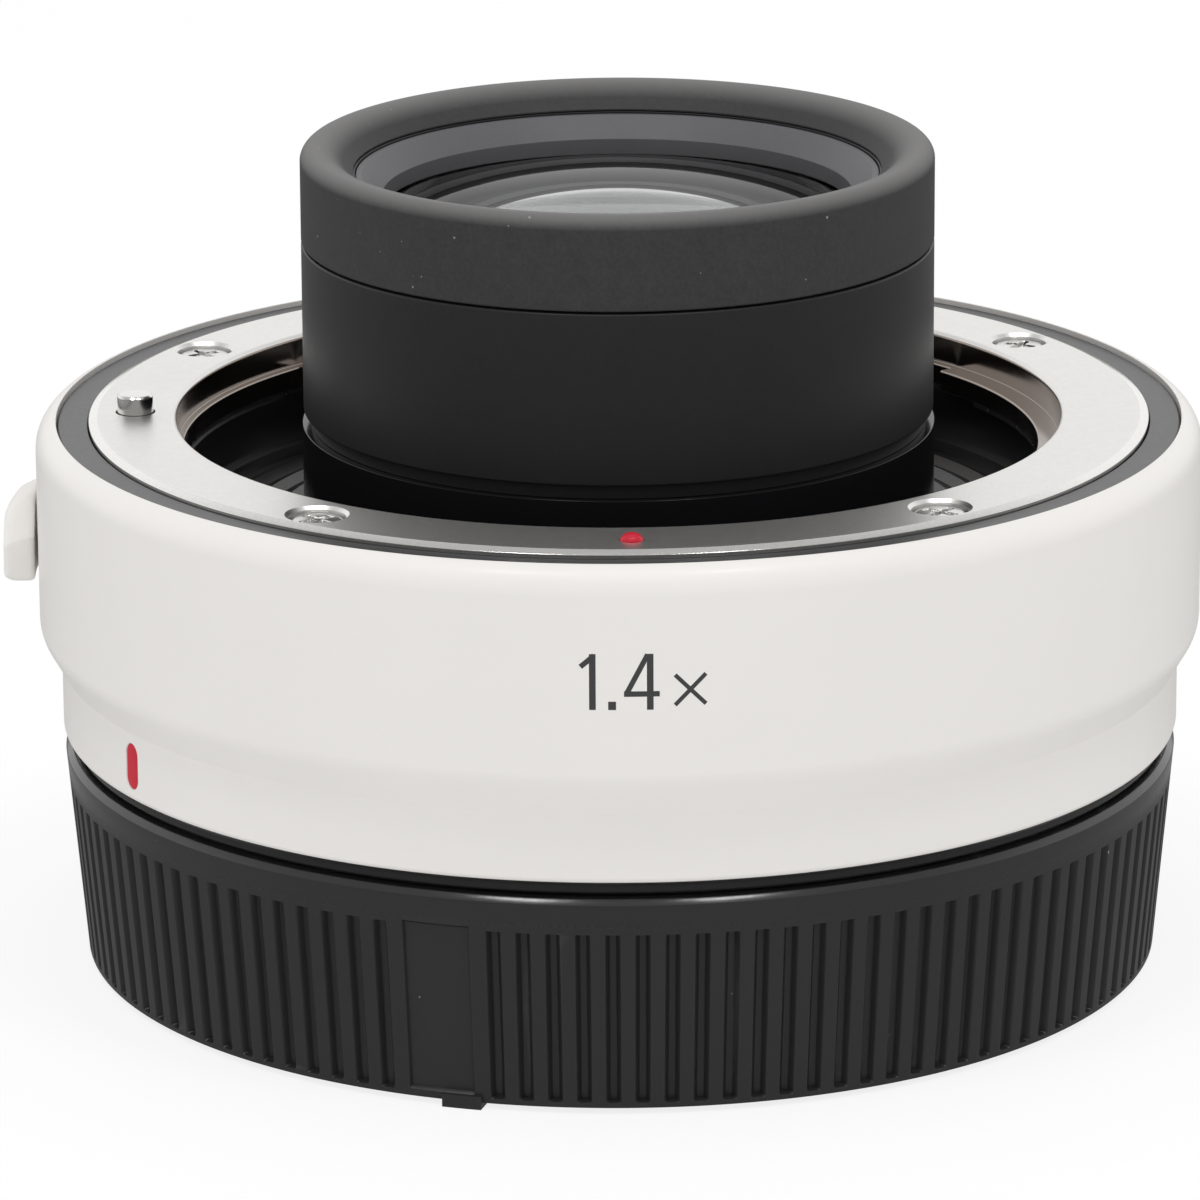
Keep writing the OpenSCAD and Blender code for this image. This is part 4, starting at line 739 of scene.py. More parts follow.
def cap_grid(c):
    """Fluted cap: the wall sinks into grooves with sloping walls, a flat floor and steep ends.

    With u the arc length from a groove's middle, w its width and f its floor's width, the depth is a share of
    t = (w/2 - |u|) / (w/2 - f/2) between 0 and 1, eased at both edges as t - 0.6 sin(2 pi t) / (2 pi).
    """
    edge = c.top_radius - c.taper
    start, end = c.base_height + c.flute_foot, c.height - c.flute_drop
    soft, brink = c.flute_soft, end + c.panel_rise
    margin = c.base_height + c.panel_margin
    wall = np.concatenate([[start - 0.1 * MM, start, start + soft / 2, start + soft, margin + soft / 2,
                            margin + soft], np.linspace(2.5 * MM, end - MM, 3),
                           [end - soft, end - soft / 2, end, brink - soft / 2, brink, brink + 0.8 * MM]])
    wall = np.unique(np.append(wall, c.nub_height + np.array([-0.01, 0.01]) * MM))
    slope = c.taper / (c.height - c.rim_bevel - c.base_height)
    corners = [(0, 0, 0), (edge - c.base_bevel, 0, 0.1 * MM), (edge, c.base_height, 0.06 * MM)]
    corners += [(edge + slope * (z - c.base_height), z, 0) for z in wall]
    corners += [(c.top_radius, c.height - c.rim_bevel, 0.12 * MM),
                (c.top_radius - c.rim_bevel, c.height, 0.12 * MM), (c.bore, c.height, 0.1 * MM),
                (c.bore, c.floor, 0.3 * MM), (0, c.floor, 0)]
    outline = rounded(corners, 4)
    r, z = outline[:, 0], outline[:, 1]
    pitch = 2 * math.pi / c.flutes
    lean = (c.flute_width - c.flute_floor) / 2
    half = (c.flute_width / 2 - lean * np.array([-0.25, 0, 0.12, 0.32, 0.68, 0.88, 1.0])) / c.top_radius
    stations = np.concatenate([-half, half])
    columns = (c.panel_az + pitch * np.arange(c.flutes)[:, None] + stations).ravel()
    sides = np.array([c.panel_az - c.panel_arc / 2, c.panel_az + c.panel_arc / 2,
                      c.nub_az - c.nub_arc / 2, c.nub_az + c.nub_arc / 2])
    columns = np.concatenate([columns, sides - 1e-3, sides + 1e-3])
    az = np.unique(wrap(columns))[:, None]
    off = wrap(az - c.panel_az)
    beside = (off + pitch / 2) % pitch - pitch / 2
    free = np.abs(off) > 1.5 * pitch
    outer = (r > edge - 0.4 * MM) & (z > 0.6 * c.base_height)
    share = np.clip((c.flute_width / 2 - np.abs(beside) * r) / lean, 0, 1)
    share = share - 0.6 * np.sin(2 * math.pi * share) / (2 * math.pi)
    sunk = c.flute_depth * share * soft_step((z - start) / soft) * soft_step((end - z) / soft) * free
    gap = np.minimum(c.panel_arc / 2 - np.abs(off), 1.0) * r
    panel = np.minimum(gap, np.minimum(z - margin, brink - z))
    sunk = np.maximum(sunk, c.panel_depth * soft_step(panel / soft))
    nub = (np.abs(az - c.nub_az) < c.nub_arc / 2) & (z < c.nub_height) & (r > edge - c.base_bevel - 0.2 * MM)
    radius = np.where(nub, edge + c.nub_out, r - sunk * outer)
    return turned(np.stack([radius, np.broadcast_to(z, radius.shape)], axis=-1), az[:, 0])


# Finishes


class Tree:
    """Short calls on a node tree: an input that is a socket is linked, any other value is set."""

    def __init__(self, tree):
        self.tree = tree

    def add(self, kind, inputs=None, **settings):
        node = self.tree.nodes.new(kind)
        for key, value in settings.items():
            setattr(node, key, value)
        self.feed(node, inputs or {})
        return node

    def feed(self, node, inputs):
        for key, value in inputs.items():
            if isinstance(value, bpy.types.NodeSocket):
                self.tree.links.new(value, node.inputs[key])
            else:
                node.inputs[key].default_value = value

    def math(self, operation, *values):
        return self.add("ShaderNodeMath", dict(enumerate(values)), operation=operation).outputs[0]

    def mix(self, factor, first, second):
        return self.add("ShaderNodeMix", {0: factor, 6: first, 7: second}, data_type="RGBA").outputs[2]

    def ramp(self, value, start, end, kind="LINEAR"):
        inputs = {"Value": value, "From Min": start, "From Max": end}
        return self.add("ShaderNodeMapRange", inputs, interpolation_type=kind).outputs[0]

    def noise(self, spot, scale, detail, roughness=0.5):
        inputs = {"Vector": spot, "Scale": scale, "Detail": detail, "Roughness": roughness}
        return self.add("ShaderNodeTexNoise", inputs).outputs[0]

    def spot(self):
        return self.add("ShaderNodeTexCoord").outputs["Object"]

    def round_axes(self):
        x, y, z = self.add("ShaderNodeSeparateXYZ", {0: self.spot()}).outputs
        squares = self.math("ADD", self.math("MULTIPLY", x, x), self.math("MULTIPLY", y, y))
        return self.math("SQRT", squares), self.math("ARCTAN2", x, y), z

    def group(self, group, **inputs):
        return self.add("ShaderNodeGroup", inputs, node_tree=group).outputs


def new_group(name, inputs, outputs):
    """An empty node group with number sockets; returns its tree, its inputs and its output node."""
    group = bpy.data.node_groups.new(name, "ShaderNodeTree")
    for key, value in inputs.items():
        group.interface.new_socket(key, in_out="INPUT", socket_type="NodeSocketFloat").default_value = value
    for key in outputs:
        group.interface.new_socket(key, in_out="OUTPUT", socket_type="NodeSocketFloat")
    tree = Tree(group)
    source = tree.add("NodeGroupInput")
    return tree, source.outputs, tree.add("NodeGroupOutput")


def shared(name, build):
    """A node group by name, built once."""
    return bpy.data.node_groups.get(name) or build(name)


def grain_group(name):
    """Fine grain: noise of two sizes mixed, for gloss and relief."""
    tree, source, sink = new_group(name, {"Scale": 6000.0}, ("Value",))
    spot = tree.spot()
    fine = tree.noise(spot, source["Scale"], 3.0)
    wide = tree.noise(spot, tree.math("MULTIPLY", source["Scale"], 0.27), 2.0)
    tree.feed(sink, {"Value": tree.math("MULTIPLY_ADD", fine, 0.7, tree.math("MULTIPLY", wide, 0.3))})
    return tree.tree


def tone_group(name):
    """Broad tone: slow noise between 0 and 1 for the drift of a colour over a surface."""
    tree, source, sink = new_group(name, {"Scale": 90.0}, ("Value",))
    tree.feed(sink, {"Value": tree.noise(tree.spot(), source["Scale"], 4.0, 0.6)})
    return tree.tree


def turned_group(name):
    """Turned lines: noise that changes quickly with radius and height and slowly round the axis."""
    tree, source, sink = new_group(name, {"Scale": 9000.0}, ("Value",))
    radius, turn, height = tree.round_axes()
    slow = tree.math("MULTIPLY", turn, 0.0004)
    flat = tree.add("ShaderNodeCombineXYZ", {0: radius, 1: height, 2: slow}).outputs[0]
    tree.feed(sink, {"Value": tree.noise(flat, source["Scale"], 2.0)})
    return tree.tree


def dust_group(name):
    """Dust: small round specks in a share of the cells of a cell pattern."""
    tree, source, sink = new_group(name, {"Scale": 1600.0, "Amount": 0.2}, ("Mask",))
    cells = tree.add("ShaderNodeTexVoronoi", {"Vector": tree.spot(), "Scale": source["Scale"]}).outputs
    chance = tree.add("ShaderNodeSeparateColor", {0: cells["Color"]}).outputs
    chosen = tree.math("LESS_THAN", chance[0], source["Amount"])
    size = tree.math("MULTIPLY_ADD", chance[1], 0.09, 0.05)
    speck = tree.math("LESS_THAN", cells["Distance"], size)
    tree.feed(sink, {"Mask": tree.math("MULTIPLY", chosen, speck)})
    return tree.tree


def rub_group(name):
    """Rubbed edges: where the surface is sharply convex, broken up by noise."""
    tree, source, sink = new_group(name, {"Amount": 0.5}, ("Mask",))
    edge = tree.ramp(tree.add("ShaderNodeNewGeometry").outputs["Pointiness"], 0.52, 0.6)
    worn = tree.math("MULTIPLY", edge, tree.noise(tree.spot(), 1500.0, 3.0))
    tree.feed(sink, {"Mask": tree.math("MULTIPLY", worn, source["Amount"])})
    return tree.tree


def zone_group(name):
    """Zones of a turned piece: inside one radius, outside another and above one height."""
    tree, source, sink = new_group(name, {"Inner": 0.0, "Outer": 1.0, "Height": 1.0},
                                   ("Throat", "Bevel", "Crest"))
    radius, _, height = tree.round_axes()
    above = tree.math("SUBTRACT", height, source["Height"])
    tree.feed(sink, {
        "Throat": tree.math("LESS_THAN", radius, source["Inner"]),
        "Bevel": tree.math("GREATER_THAN", radius, source["Outer"]),
        "Crest": tree.ramp(above, 0.0, 0.9 * MM),
    })
    return tree.tree


WHITE = (1.0, 1.0, 1.0, 1.0)
# Pale grey of dust and rubbed wear; on the rim's crest it also stands for a painted sheen
DUST_AND_SHEEN = (0.62, 0.61, 0.6, 1.0)
# Dark warm brown for the steel inside the throat: a painted reflection and shade of the opening, not a colour of the
# steel
THROAT_REFLECTION_BROWN = (0.32, 0.28, 0.25, 1.0)
# Zones are an inner radius, an outer radius and a height in millimetres; FAR lies beyond any piece
FAR = 100.0
PLAIN = dict(roughness=0.45, metallic=0.0, spread=0.08, tone=0.06, speckle=0.2, grain=6000.0, depth=0.002,
             lines=0.0, dust=0.0, rub=0.0, coat=0.0, gleam=0.3, shade=1.0, zones=None, crest=(0.0, 0.0))
FINISHES = {
    "shell_white": dict(roughness=0.42, tone=0.03, grain=9000.0, depth=0.001, coat=0.06, gleam=0.4),
    "lever_white": dict(roughness=0.42, tone=0.03, grain=9000.0, depth=0.001, coat=0.06, gleam=0.4),
    "trim_grey": dict(roughness=0.34, depth=0.001, lines=0.2, gleam=0.45),
    "mount_steel": dict(roughness=0.38, metallic=1.0, tone=0.15, speckle=0.8, spread=0.05, grain=5000.0,
                        depth=0.0008, shade=1.1, zones=(27.05, 31.82, FAR)),
    "pin_steel": dict(roughness=0.18, metallic=1.0, spread=0.04, depth=0.0002, lines=0.2),
    "screw_steel": dict(roughness=0.18, metallic=1.0, spread=0.05, depth=0.0004, lines=0.1),
    "spring_steel": dict(roughness=0.25, metallic=1.0),
    "index_red": dict(roughness=0.3, tone=0.05, depth=0.0006, coat=0.08, gleam=0.2),
    "throat_black": dict(roughness=0.2, tone=0.2, depth=0.0006, lines=0.25, gleam=0.5),
    "block_black": dict(roughness=0.45, tone=0.2),
    "frame_black": dict(roughness=0.5, tone=0.2),
    "barrel_black": dict(roughness=0.4, tone=0.4, speckle=0.7, grain=7000.0, depth=0.002, lines=0.35, dust=0.008,
                         gleam=0.3),
    "collar_gloss": dict(roughness=0.16, tone=0.1, depth=0.0003, lines=0.1, gleam=0.25),
    # The rim's crest share lightens its top: partly dust, partly a painted sheen where the crest faces the light
    "rim_rubber": dict(roughness=0.6, tone=0.5, speckle=0.8, grain=4200.0, depth=0.01, dust=0.12, shade=1.2,
                       zones=(0.0, FAR, 49.45), crest=(0.22, 0.0)),
    "retaining_grey": dict(roughness=0.45, tone=0.2, speckle=0.6, lines=0.5, shade=0.58),
    "seal_rubber": dict(roughness=0.16, tone=0.1, depth=0.0006, coat=0.2, gleam=0.4),
    "contact_gold": dict(roughness=0.2, metallic=1.0),
    "shim_brass": dict(roughness=0.3, metallic=1.0, lines=0.4),
    "board_green": dict(roughness=0.35, tone=0.3, coat=0.4),
    "chip_black": dict(roughness=0.55),
    "flex_amber": dict(roughness=0.3, tone=0.15, coat=0.3),
    "cap_black": dict(roughness=0.38, tone=0.12, grain=7000.0, depth=0.0015, dust=0.015, rub=0.04, gleam=0.55,
                      zones=(0.0, FAR, 11.35), crest=(0.0, -0.22)),
}


def new_material(name):
    """A material with its tree and its shader."""
    material = bpy.data.materials.new(name)
    material.use_nodes = True
    return material, Tree(material.node_tree), material.node_tree.nodes["Principled BSDF"]


def finish(slot, coated=False):
    """The material of a slot, built once: glass for the lenses, else a worn and grained surface."""
    name = f"converter_{slot}_coated" if coated else f"converter_{slot}"
    known = bpy.data.materials.get(name)
    if known:
        return known
    colour = tuple(getattr(bpy.context.scene.converter_colours, slot))
    if slot == "lens_glass":
        sizes = bpy.context.scene.converter_glass
        return glass_finish(name, colour, sizes.front_index if coated else sizes.index)
    return worn_finish(name, colour, {**PLAIN, **FINISHES[slot]})


def worn_finish(name, colour, look):
    """Colour drifts with broad tone and grain, gloss and relief follow grain and turned lines, dust lies on top."""
    material, tree, shader = new_material(name)
    broad = tree.group(shared("broad_tone", tone_group))[0]
    grain = tree.group(shared("fine_grain", grain_group), Scale=look["grain"])[0]
    speck = tree.math("MULTIPLY", grain, look["speckle"])
    drift = tree.math("MULTIPLY_ADD", broad, 1.0 - look["speckle"], speck)
    shades = [look["shade"] * (1 + side * look["tone"]) for side in (-1, 1)]
    base = tree.mix(drift, *[(*[min(c * shade, 1.0) for c in colour], 1.0) for shade in shades])
    height = tree.math("MULTIPLY", grain, 1.0 - look["lines"])
    if look["lines"]:
        ring = tree.group(shared("turned_lines", turned_group))[0]
        height = tree.math("MULTIPLY_ADD", ring, look["lines"], height)
    gloss = tree.math("MULTIPLY_ADD", height, 2 * look["spread"], look["roughness"] - look["spread"])
    if look["zones"]:
        sizes = {key: value * MM for key, value in zip(("Inner", "Outer", "Height"), look["zones"])}
        zones = tree.group(shared("turned_zones", zone_group), **sizes)
        # Inside the throat radius the steel takes a painted reflection, a dark warm brown in place of what its
        # polished wall mirrors
        base = tree.mix(zones["Throat"], base, THROAT_REFLECTION_BROWN)
        # Above the crest height the colour lightens towards the pale grey: partly dust, partly a painted sheen on
        # the upward-facing crest
        base = tree.mix(tree.math("MULTIPLY", zones["Crest"], look["crest"][0]), base, DUST_AND_SHEEN)
        polished = tree.math("ADD", zones["Throat"], zones["Bevel"])
        gloss = tree.math("MULTIPLY_ADD", polished, -0.6 * look["roughness"], gloss)
        gloss = tree.math("MULTIPLY_ADD", zones["Crest"], look["crest"][1], gloss)
    if look["rub"]:
        worn = tree.group(shared("rubbed_edges", rub_group), Amount=look["rub"])[0]
        base = tree.mix(worn, base, DUST_AND_SHEEN)
    if look["dust"]:
        specks = tree.group(shared("dust_specks", dust_group), Amount=look["dust"])[0]
        base = tree.mix(tree.math("MULTIPLY", specks, 0.35), base, DUST_AND_SHEEN)
        gloss = tree.math("MULTIPLY_ADD", specks, 0.4, gloss)
    relief = tree.add("ShaderNodeBump", {"Height": height, "Strength": 1.0, "Distance": look["depth"] * MM})
    tree.feed(shader, {
        "Base Color": base, "Roughness": gloss, "Normal": relief.outputs[0], "Metallic": look["metallic"],
        "Specular IOR Level": look["gleam"], "Coat Weight": look["coat"], "Coat Roughness": 0.1,
    })
    return material


def glass_finish(name, colour, index):
    """Clear glass of a refractive index; faint wipe marks change its gloss."""
    material, tree, shader = new_material(name)
    drift = tree.group(shared("broad_tone", tone_group), Scale=160.0)[0]
    clear = [0.57 * max(colour) + 0.15 * c for c in colour]
    base = tree.mix(drift, (*clear, 1.0), (*[0.98 * c for c in clear], 1.0))
    smear = tree.math("MULTIPLY", tree.math("POWER", drift, 3.0), 0.05)
    tree.feed(shader, {"Base Color": base, "Roughness": smear, "Transmission Weight": 1.0, "IOR": index})
    return material


# Operators


class CONVERTER_OT_shell(bpy.types.Operator):
    """Build the white shell with the lever's slot"""

    bl_idname = "converter.shell"
    bl_label = "Shell"

    def execute(self, context):
        s, k = context.scene.converter_shell, context.scene.converter_marks
        slot = sector(s.radius - 2 * s.wall, s.radius + s.wall, s.slot_low, s.slot_high, s.slot_az, s.slot_arc,
                      s.slot_round)
        dish = red_line(k, s, 0.0, k.line_margin, k.line_depth)
        new_piece("shell", [skin(turned(rounded(shell_corners(s), 10)))], "shell_white", "outer_shell",
                  cutters=[skin(slot, ring=False), skin(dish, ring=False)])
        return {"FINISHED"}


class CONVERTER_OT_marks(bpy.types.Operator):
    """Build the red mounting line, the magnification number and the lever's mark"""

    bl_idname = "converter.marks"
    bl_label = "Marks"

    def execute(self, context):
        k, s = context.scene.converter_marks, context.scene.converter_shell
        line = red_line(k, s, k.line_sink * k.line_depth, 0.0, k.line_swell * k.line_depth)
        new_piece("mounting_line", [skin(line, ring=False)], "index_red", "mount_index_line")
        h, z = k.number_height, k.number_foot
        grids = [stroke(s.radius, k.number_az, (h * x0, z + h * z0), (h * x1, z + h * z1), h * width, k.lift, True)
                 for x0, z0, x1, z1, width in NUMBER_STROKES]
        new_piece("magnification_number", [skin(grid, ring=False) for grid in grids], "trim_grey")
        half, z = k.arrow_length / 2, k.arrow_height
        dash = stroke(s.radius, k.arrow_az, (-half, z), (half, z), k.arrow_width, k.lift)
        new_piece("lever_mark", [skin(dash, ring=False)], "trim_grey")
        return {"FINISHED"}


class CONVERTER_OT_trim(bpy.types.Operator):
    """Build the grey trim ring between shell and steel ring"""

    bl_idname = "converter.trim"
    bl_label = "Trim ring"

    def execute(self, context):
        m, node = context.scene.converter_mount, "front_trim_ring"
        corners = block(m.radius + THIN, reach(node), low(node), high(node), m.trim_round)
        turned_piece("trim_ring", corners, "trim_grey", node)
        return {"FINISHED"}


class CONVERTER_OT_mount(bpy.types.Operator):
    """Build the steel bayonet ring with its bores"""

    bl_idname = "converter.mount"
    bl_label = "Bayonet ring"

    def execute(self, context):
        m = context.scene.converter_mount
        new_piece("bayonet_ring", [skin(mount_grid(m))], "mount_steel", "front_bayonet_ring",
                  cutters=mount_cutters(m))
        return {"FINISHED"}


class CONVERTER_OT_screws(bpy.types.Operator):
    """Build the four screws of the bayonet ring"""

    bl_idname = "converter.screws"
    bl_label = "Mount screws"

    def execute(self, context):
        m = context.scene.converter_mount
        skins = [skin(screw_grid(m, az, low("front_mount_screws")), loop=False) for az in m.screw_places]
        new_piece("mount_screws", skins, "screw_steel", "front_mount_screws")
        return {"FINISHED"}


class CONVERTER_OT_dot(bpy.types.Operator):
    """Build the domed red index dot"""

    bl_idname = "converter.dot"
    bl_label = "Index dot"

    def execute(self, context):
        m = context.scene.converter_mount
        foot, edge = low("front_index_dot"), m.top - m.dot_edge
        t = np.linspace(0, math.pi / 2, 16)
        dome = np.stack([m.dot_radius * np.cos(t), edge + (high("front_index_dot") - edge) * np.sin(t)], axis=-1)
        outline = np.concatenate([[(0, foot), (m.dot_radius, foot)], dome])
        grid = turned(outline, round_lines(64), on_circle(m.screw_circle, 0.0))
        new_piece("index_dot", [skin(grid, loop=False)], "index_red", "front_index_dot")
        return {"FINISHED"}


class CONVERTER_OT_pin(bpy.types.Operator):
    """Build the lock pin"""

    bl_idname = "converter.pin"
    bl_label = "Lock pin"

    def execute(self, context):
        skins = pin_skins(context.scene.converter_mount, low("lock_pin"), high("lock_pin"),
                          -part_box("lock_pin")[0][0])
        new_piece("lock_pin_bar", skins, "pin_steel", "lock_pin", "lock_pin")
        return {"FINISHED"}


class CONVERTER_OT_lever(bpy.types.Operator):
    """Build the release lever"""

    bl_idname = "converter.lever"
    bl_label = "Release lever"

    def execute(self, context):
        v = context.scene.converter_lever
        stem = sector(v.stem_inner, v.inner + v.stem_lap, v.stem_foot, v.stem_foot + v.stem_height, v.az, v.stem_arc)
        skins = [skin(lever_grid(v), ring=False), skin(stem, ring=False)]
        new_piece("lever_finger", skins, "lever_white", "release_lever", "release_lever")
        return {"FINISHED"}


class CONVERTER_OT_springs(bpy.types.Operator):
    """Build the springs of the lock pin and the lever"""

    bl_idname = "converter.springs"
    bl_label = "Release springs"

    def execute(self, context):
        p, m = context.scene.converter_springs, context.scene.converter_mount
        foot = np.array([*on_circle(m.pin_circle, m.pin_az), low("pin_spring")])
        grid = foot + coil_grid(p.pin_coil, high("pin_spring") - low("pin_spring"), p.pin_turns, p.wire)
        coil = new_piece("pin_coil", [skin(grid, ring=False)], "spring_steel", "pin_spring")
        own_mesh(coil)
        along = np.array([math.cos(p.lever_az), math.sin(p.lever_az), 0.0])
        out = np.array([math.sin(p.lever_az), -math.cos(p.lever_az), 0.0])
        middle = 0.5 * (low("lever_spring") + high("lever_spring"))
        start = p.lever_circle * out - 0.5 * p.lever_length * along + np.array([0.0, 0.0, middle])
        grid = coil_grid(p.lever_coil, p.lever_length, p.lever_turns, p.wire)
        grid = start + grid @ np.stack([out, (0.0, 0.0, 1.0), along])
        coil = new_piece("lever_coil", [skin(grid, ring=False)], "spring_steel", "lever_spring")
        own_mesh(coil)
        return {"FINISHED"}


class CONVERTER_OT_barrel(bpy.types.Operator):
    """Build the collar, the front barrel, its rubber rim and the ring that holds the glass"""

    bl_idname = "converter.barrel"
    bl_label = "Front barrel"

    def execute(self, context):
        b = context.scene.converter_barrel
        foot, top = low("barrel_collar"), high("barrel_collar")
        turned_piece("collar", block(b.collar_radius - b.collar_wall, b.collar_radius, foot, top, THIN),
                     "collar_gloss", "barrel_collar")
        lip = b.rim_top - b.rim_fall
        lip_foot, groove, under = lip - b.rim_lip_height, b.rim_foot - b.rim_gap, b.seat - b.seat_height
        neck, end, base = b.radius - b.neck_depth, lip_foot - THIN, low("front_barrel")
        rim_in, thread, lens = b.rim_bore - THIN, b.thread + THIN, reach("lens_1") + THIN
        seat_top = low("front_retaining_ring") - THIN
        turned_piece("barrel", [
            (b.spigot_bore, base, THIN), (b.spigot, base, THIN), (b.spigot, top, THIN), (neck, top, THIN),
            (neck, b.foot, THIN), (b.radius, b.foot, b.edge), (b.radius, groove, b.edge), (rim_in, groove, THIN),
            (rim_in, end, THIN), (thread, end, THIN), (thread, seat_top, THIN), (lens, seat_top, THIN),
            (lens, b.seat, THIN), (b.clear, b.seat, THIN), (b.clear, under, THIN), (b.spigot_bore, under, THIN),
        ], "barrel_black", "front_barrel")
        turned_piece("rim", [
            (b.rim_bore, b.rim_foot, THIN), (b.radius, b.rim_foot, b.edge), (b.radius, b.rim_top, b.rim_round),
            (b.rim_crest, b.rim_top, b.crest_round), (b.rim_lip, lip, THIN), (b.rim_lip, lip_foot, b.lip_round),
            (b.rim_bore, lip_foot, THIN),
        ], "rim_rubber", "barrel_rim", 14)
        foot, top = low("front_retaining_ring"), high("front_retaining_ring")
        turned_piece("glass_ring", [
            (b.clear, foot, THIN), (b.thread, foot, THIN), (b.thread, top, THIN), (b.clear + b.cone, top, THIN),
            (b.clear, top - b.cone, THIN),
        ], "retaining_grey", "front_retaining_ring")
        return {"FINISHED"}


class CONVERTER_OT_glass(bpy.types.Operator):
    """Build the seven glasses"""

    bl_idname = "converter.glass"
    bl_label = "Glasses"

    def execute(self, context):
        g = context.scene.converter_glass
        for number, key in enumerate(("first", "second", "third", "fourth", "fifth", "sixth", "seventh"), 1):
            node = f"lens_{number}"
            grid = lens_grid(reach(node), high(node), low(node), *getattr(g, key))
            glass = new_piece(f"glass_{number}", [skin(grid, loop=False)], "lens_glass", node)
            glass.data.materials[0] = finish("lens_glass", coated=number == 1)
        return {"FINISHED"}


class CONVERTER_OT_cap(bpy.types.Operator):
    """Build the fluted rear cap and the seal ring above it"""

    bl_idname = "converter.cap"
    bl_label = "Rear cap"

    def execute(self, context):
        c = context.scene.converter_cap
        skins = [skin(cap_grid(c), loop=False)]
        for az in c.tab_places:
            tab = sector(c.tab_radius, c.bore + THIN, c.tab_foot, c.tab_foot + c.tab_height, az, c.tab_arc)
            skins.append(skin(tab, ring=False))
        new_piece("fluted_cap", skins, "cap_black", "rear_cap", "rear_cap")
        node = "rear_seal_ring"
        corners = block(reach(node) - c.seal_width, reach(node), low(node), high(node), c.seal_round)
        turned_piece("seal", corners, "seal_rubber", node)
        return {"FINISHED"}


class CONVERTER_OT_finishes(bpy.types.Operator):
    """Give every frame node that is still shown its finish"""

    bl_idname = "converter.finishes"
    bl_label = "Inner finishes"

    def execute(self, context):
        slots = {row["node"]: row["material_slot"] for row in frame["record"]["subparts"]}
        for name, node in frame["nodes"].items():
            for holder in node.material_slots:
                holder.material = finish(slots[name])
        return {"FINISHED"}


class CONVERTER_OT_stage(bpy.types.Operator):
    """Build the floor, the light and the camera"""

    bl_idname = "converter.stage"
    bl_label = "Stage"

    def execute(self, context):
        scene, t = context.scene, context.scene.converter_stage
        scene.view_settings.view_transform = "Standard"
        set_world(scene, t)
        far = FLOOR_REACH
        mesh = bpy.data.meshes.new("floor")
        mesh.from_pydata([(-far, -far, 0), (far, -far, 0), (far, far, 0), (-far, far, 0)], [], [(0, 1, 2, 3)])
        mesh.materials.append(floor_finish(t.floor_white, t.floor_shade))
        floor = bpy.data.objects.new("floor", mesh)
        floor.location.z = -FLOOR_DROP
        scene.collection.objects.link(floor)
        lamp = bpy.data.lights.new("overhead", "AREA")
        lamp.energy, lamp.size = t.lamp, t.lamp_size
        for side in (-1, 1):
            holder = bpy.data.objects.new("overhead", lamp)
            holder.matrix_world = facing((side * t.lamp_place[0], *t.lamp_place[1:]), t.lamp_aim)
            scene.collection.objects.link(holder)
        camera = bpy.data.cameras.new("camera")
        camera.lens, camera.sensor_width, camera.clip_start = t.focal, 36.0, 0.01
        eye = bpy.data.objects.new("camera", camera)
        eye.matrix_world = facing(t.eye, t.aim) @ Matrix.Rotation(t.roll, 4, "Z")
        scene.collection.objects.link(eye)
        scene.camera = eye
        return {"FINISHED"}


def facing(eye, aim):
    """Placing of a lamp or camera that looks from one point at another."""
    eye, aim = Vector(eye), Vector(aim)
    return Matrix.Translation(eye) @ (aim - eye).to_track_quat("-Z", "Y").to_matrix().to_4x4()


def ray_kinds(tree):
    """Two masks: rays of the camera, straight or through glass, and rays of a reflection."""
    rays = tree.add("ShaderNodeLightPath").outputs
    return tree.math("MAXIMUM", rays["Is Camera Ray"], rays["Is Transmission Ray"]), rays["Is Glossy Ray"]


def set_world(scene, t):
    """White background for the camera, an even light on surfaces, and a studio with a dark side in reflections.

    In a reflection the strength is shade + (1 - shade) h b + ceiling (1 - h), with h falling from 1 at the
    horizon to 0 at the zenith and b rising from 0 behind the camera to 1 behind the object.
    """
    world = bpy.data.worlds.new("studio")
    world.use_nodes = True
    scene.world = world
    tree = Tree(world.node_tree)
    way = tree.add("ShaderNodeSeparateXYZ", {0: tree.add("ShaderNodeTexCoord").outputs["Generated"]}).outputs
    level = tree.math("SUBTRACT", 1.0, tree.ramp(way[2], 0.45, 0.85, "SMOOTHSTEP"))
    behind = tree.ramp(way[1], -0.5, 0.25, "SMOOTHSTEP")
    studio = tree.math("MULTIPLY_ADD", tree.math("MULTIPLY", level, behind), 1.0 - t.shade, t.shade)
    studio = tree.math("ADD", studio, tree.math("MULTIPLY_ADD", level, -t.ceiling, t.ceiling))
    seen, mirrored = ray_kinds(tree)
    strength = tree.math("MULTIPLY_ADD", mirrored, tree.math("SUBTRACT", studio, t.fill), t.fill)
    strength = tree.math("MULTIPLY_ADD", seen, tree.math("SUBTRACT", 1.0, strength), strength)
    tree.feed(world.node_tree.nodes["Background"], {"Color": WHITE, "Strength": strength})


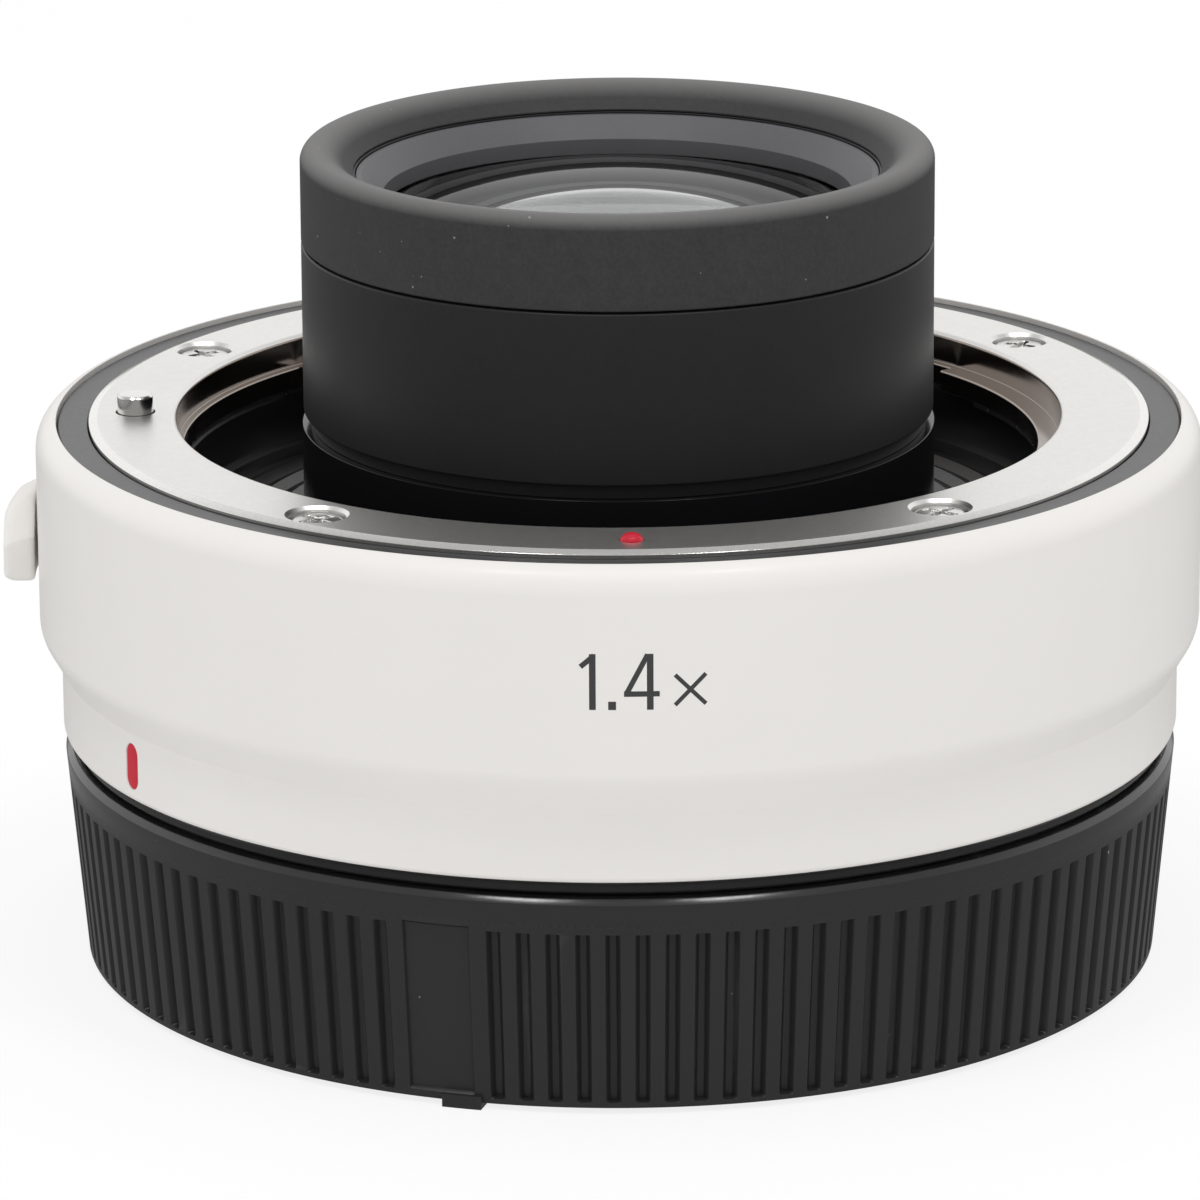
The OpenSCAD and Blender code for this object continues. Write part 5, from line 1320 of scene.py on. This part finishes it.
def floor_finish(white, shade):
    """Pale floor that fades into the white background, keeps a share of the shadow and is dim in reflections."""
    material, tree, shader = new_material("floor")
    tree.feed(shader, {"Base Color": FLOOR_COLOUR, "Roughness": 0.9})
    seen, mirrored = ray_kinds(tree)
    dim = tree.add("ShaderNodeEmission", {"Color": WHITE, "Strength": shade})
    blend = tree.add("ShaderNodeMixShader", {0: mirrored, 1: shader.outputs[0], 2: dim.outputs[0]})
    glow = tree.add("ShaderNodeEmission", {"Color": WHITE})
    share = tree.math("MULTIPLY", seen, white)
    blend = tree.add("ShaderNodeMixShader", {0: share, 1: blend.outputs[0], 2: glow.outputs[0]})
    tree.feed(material.node_tree.nodes["Material Output"], {"Surface": blend.outputs[0]})
    return material


class CONVERTER_PT_panel(bpy.types.Panel):
    """Sidebar panel with the steps that build the converter"""

    bl_idname = "CONVERTER_PT_panel"
    bl_label = "Teleconverter"
    bl_space_type = "VIEW_3D"
    bl_region_type = "UI"
    bl_category = "Teleconverter"

    def draw(self, context):
        for step in STEPS:
            self.layout.operator(step.bl_idname)


GROUPS = {
    "converter_shell": ShellSizes,
    "converter_marks": MarkSizes,
    "converter_mount": MountSizes,
    "converter_lever": LeverSizes,
    "converter_springs": SpringSizes,
    "converter_barrel": BarrelSizes,
    "converter_glass": GlassSizes,
    "converter_cap": CapSizes,
    "converter_colours": FinishColours,
    "converter_stage": StageSettings,
}
STEPS = (
    CONVERTER_OT_stage,
    CONVERTER_OT_shell,
    CONVERTER_OT_marks,
    CONVERTER_OT_trim,
    CONVERTER_OT_mount,
    CONVERTER_OT_screws,
    CONVERTER_OT_dot,
    CONVERTER_OT_pin,
    CONVERTER_OT_lever,
    CONVERTER_OT_springs,
    CONVERTER_OT_barrel,
    CONVERTER_OT_glass,
    CONVERTER_OT_cap,
    CONVERTER_OT_finishes,
)


def register():
    """Label the properties, and add the classes to Blender and the property groups to the scene."""
    for group in GROUPS.values():
        for key, item in group.__annotations__.items():
            item.keywords["name"] = key.replace("_", " ").capitalize()
    for item in (*GROUPS.values(), *STEPS, CONVERTER_PT_panel):
        bpy.utils.register_class(item)
    for name, group in GROUPS.items():
        setattr(bpy.types.Scene, name, PointerProperty(type=group))


def unregister():
    """Take the property groups and classes out again."""
    for name in GROUPS:
        delattr(bpy.types.Scene, name)
    for item in reversed((*GROUPS.values(), *STEPS, CONVERTER_PT_panel)):
        bpy.utils.unregister_class(item)


def main():
    """Build everything in order."""
    register()
    for step in STEPS:
        getattr(bpy.ops.converter, step.bl_idname.split(".")[1])()


if __name__ == "__main__":
    main()
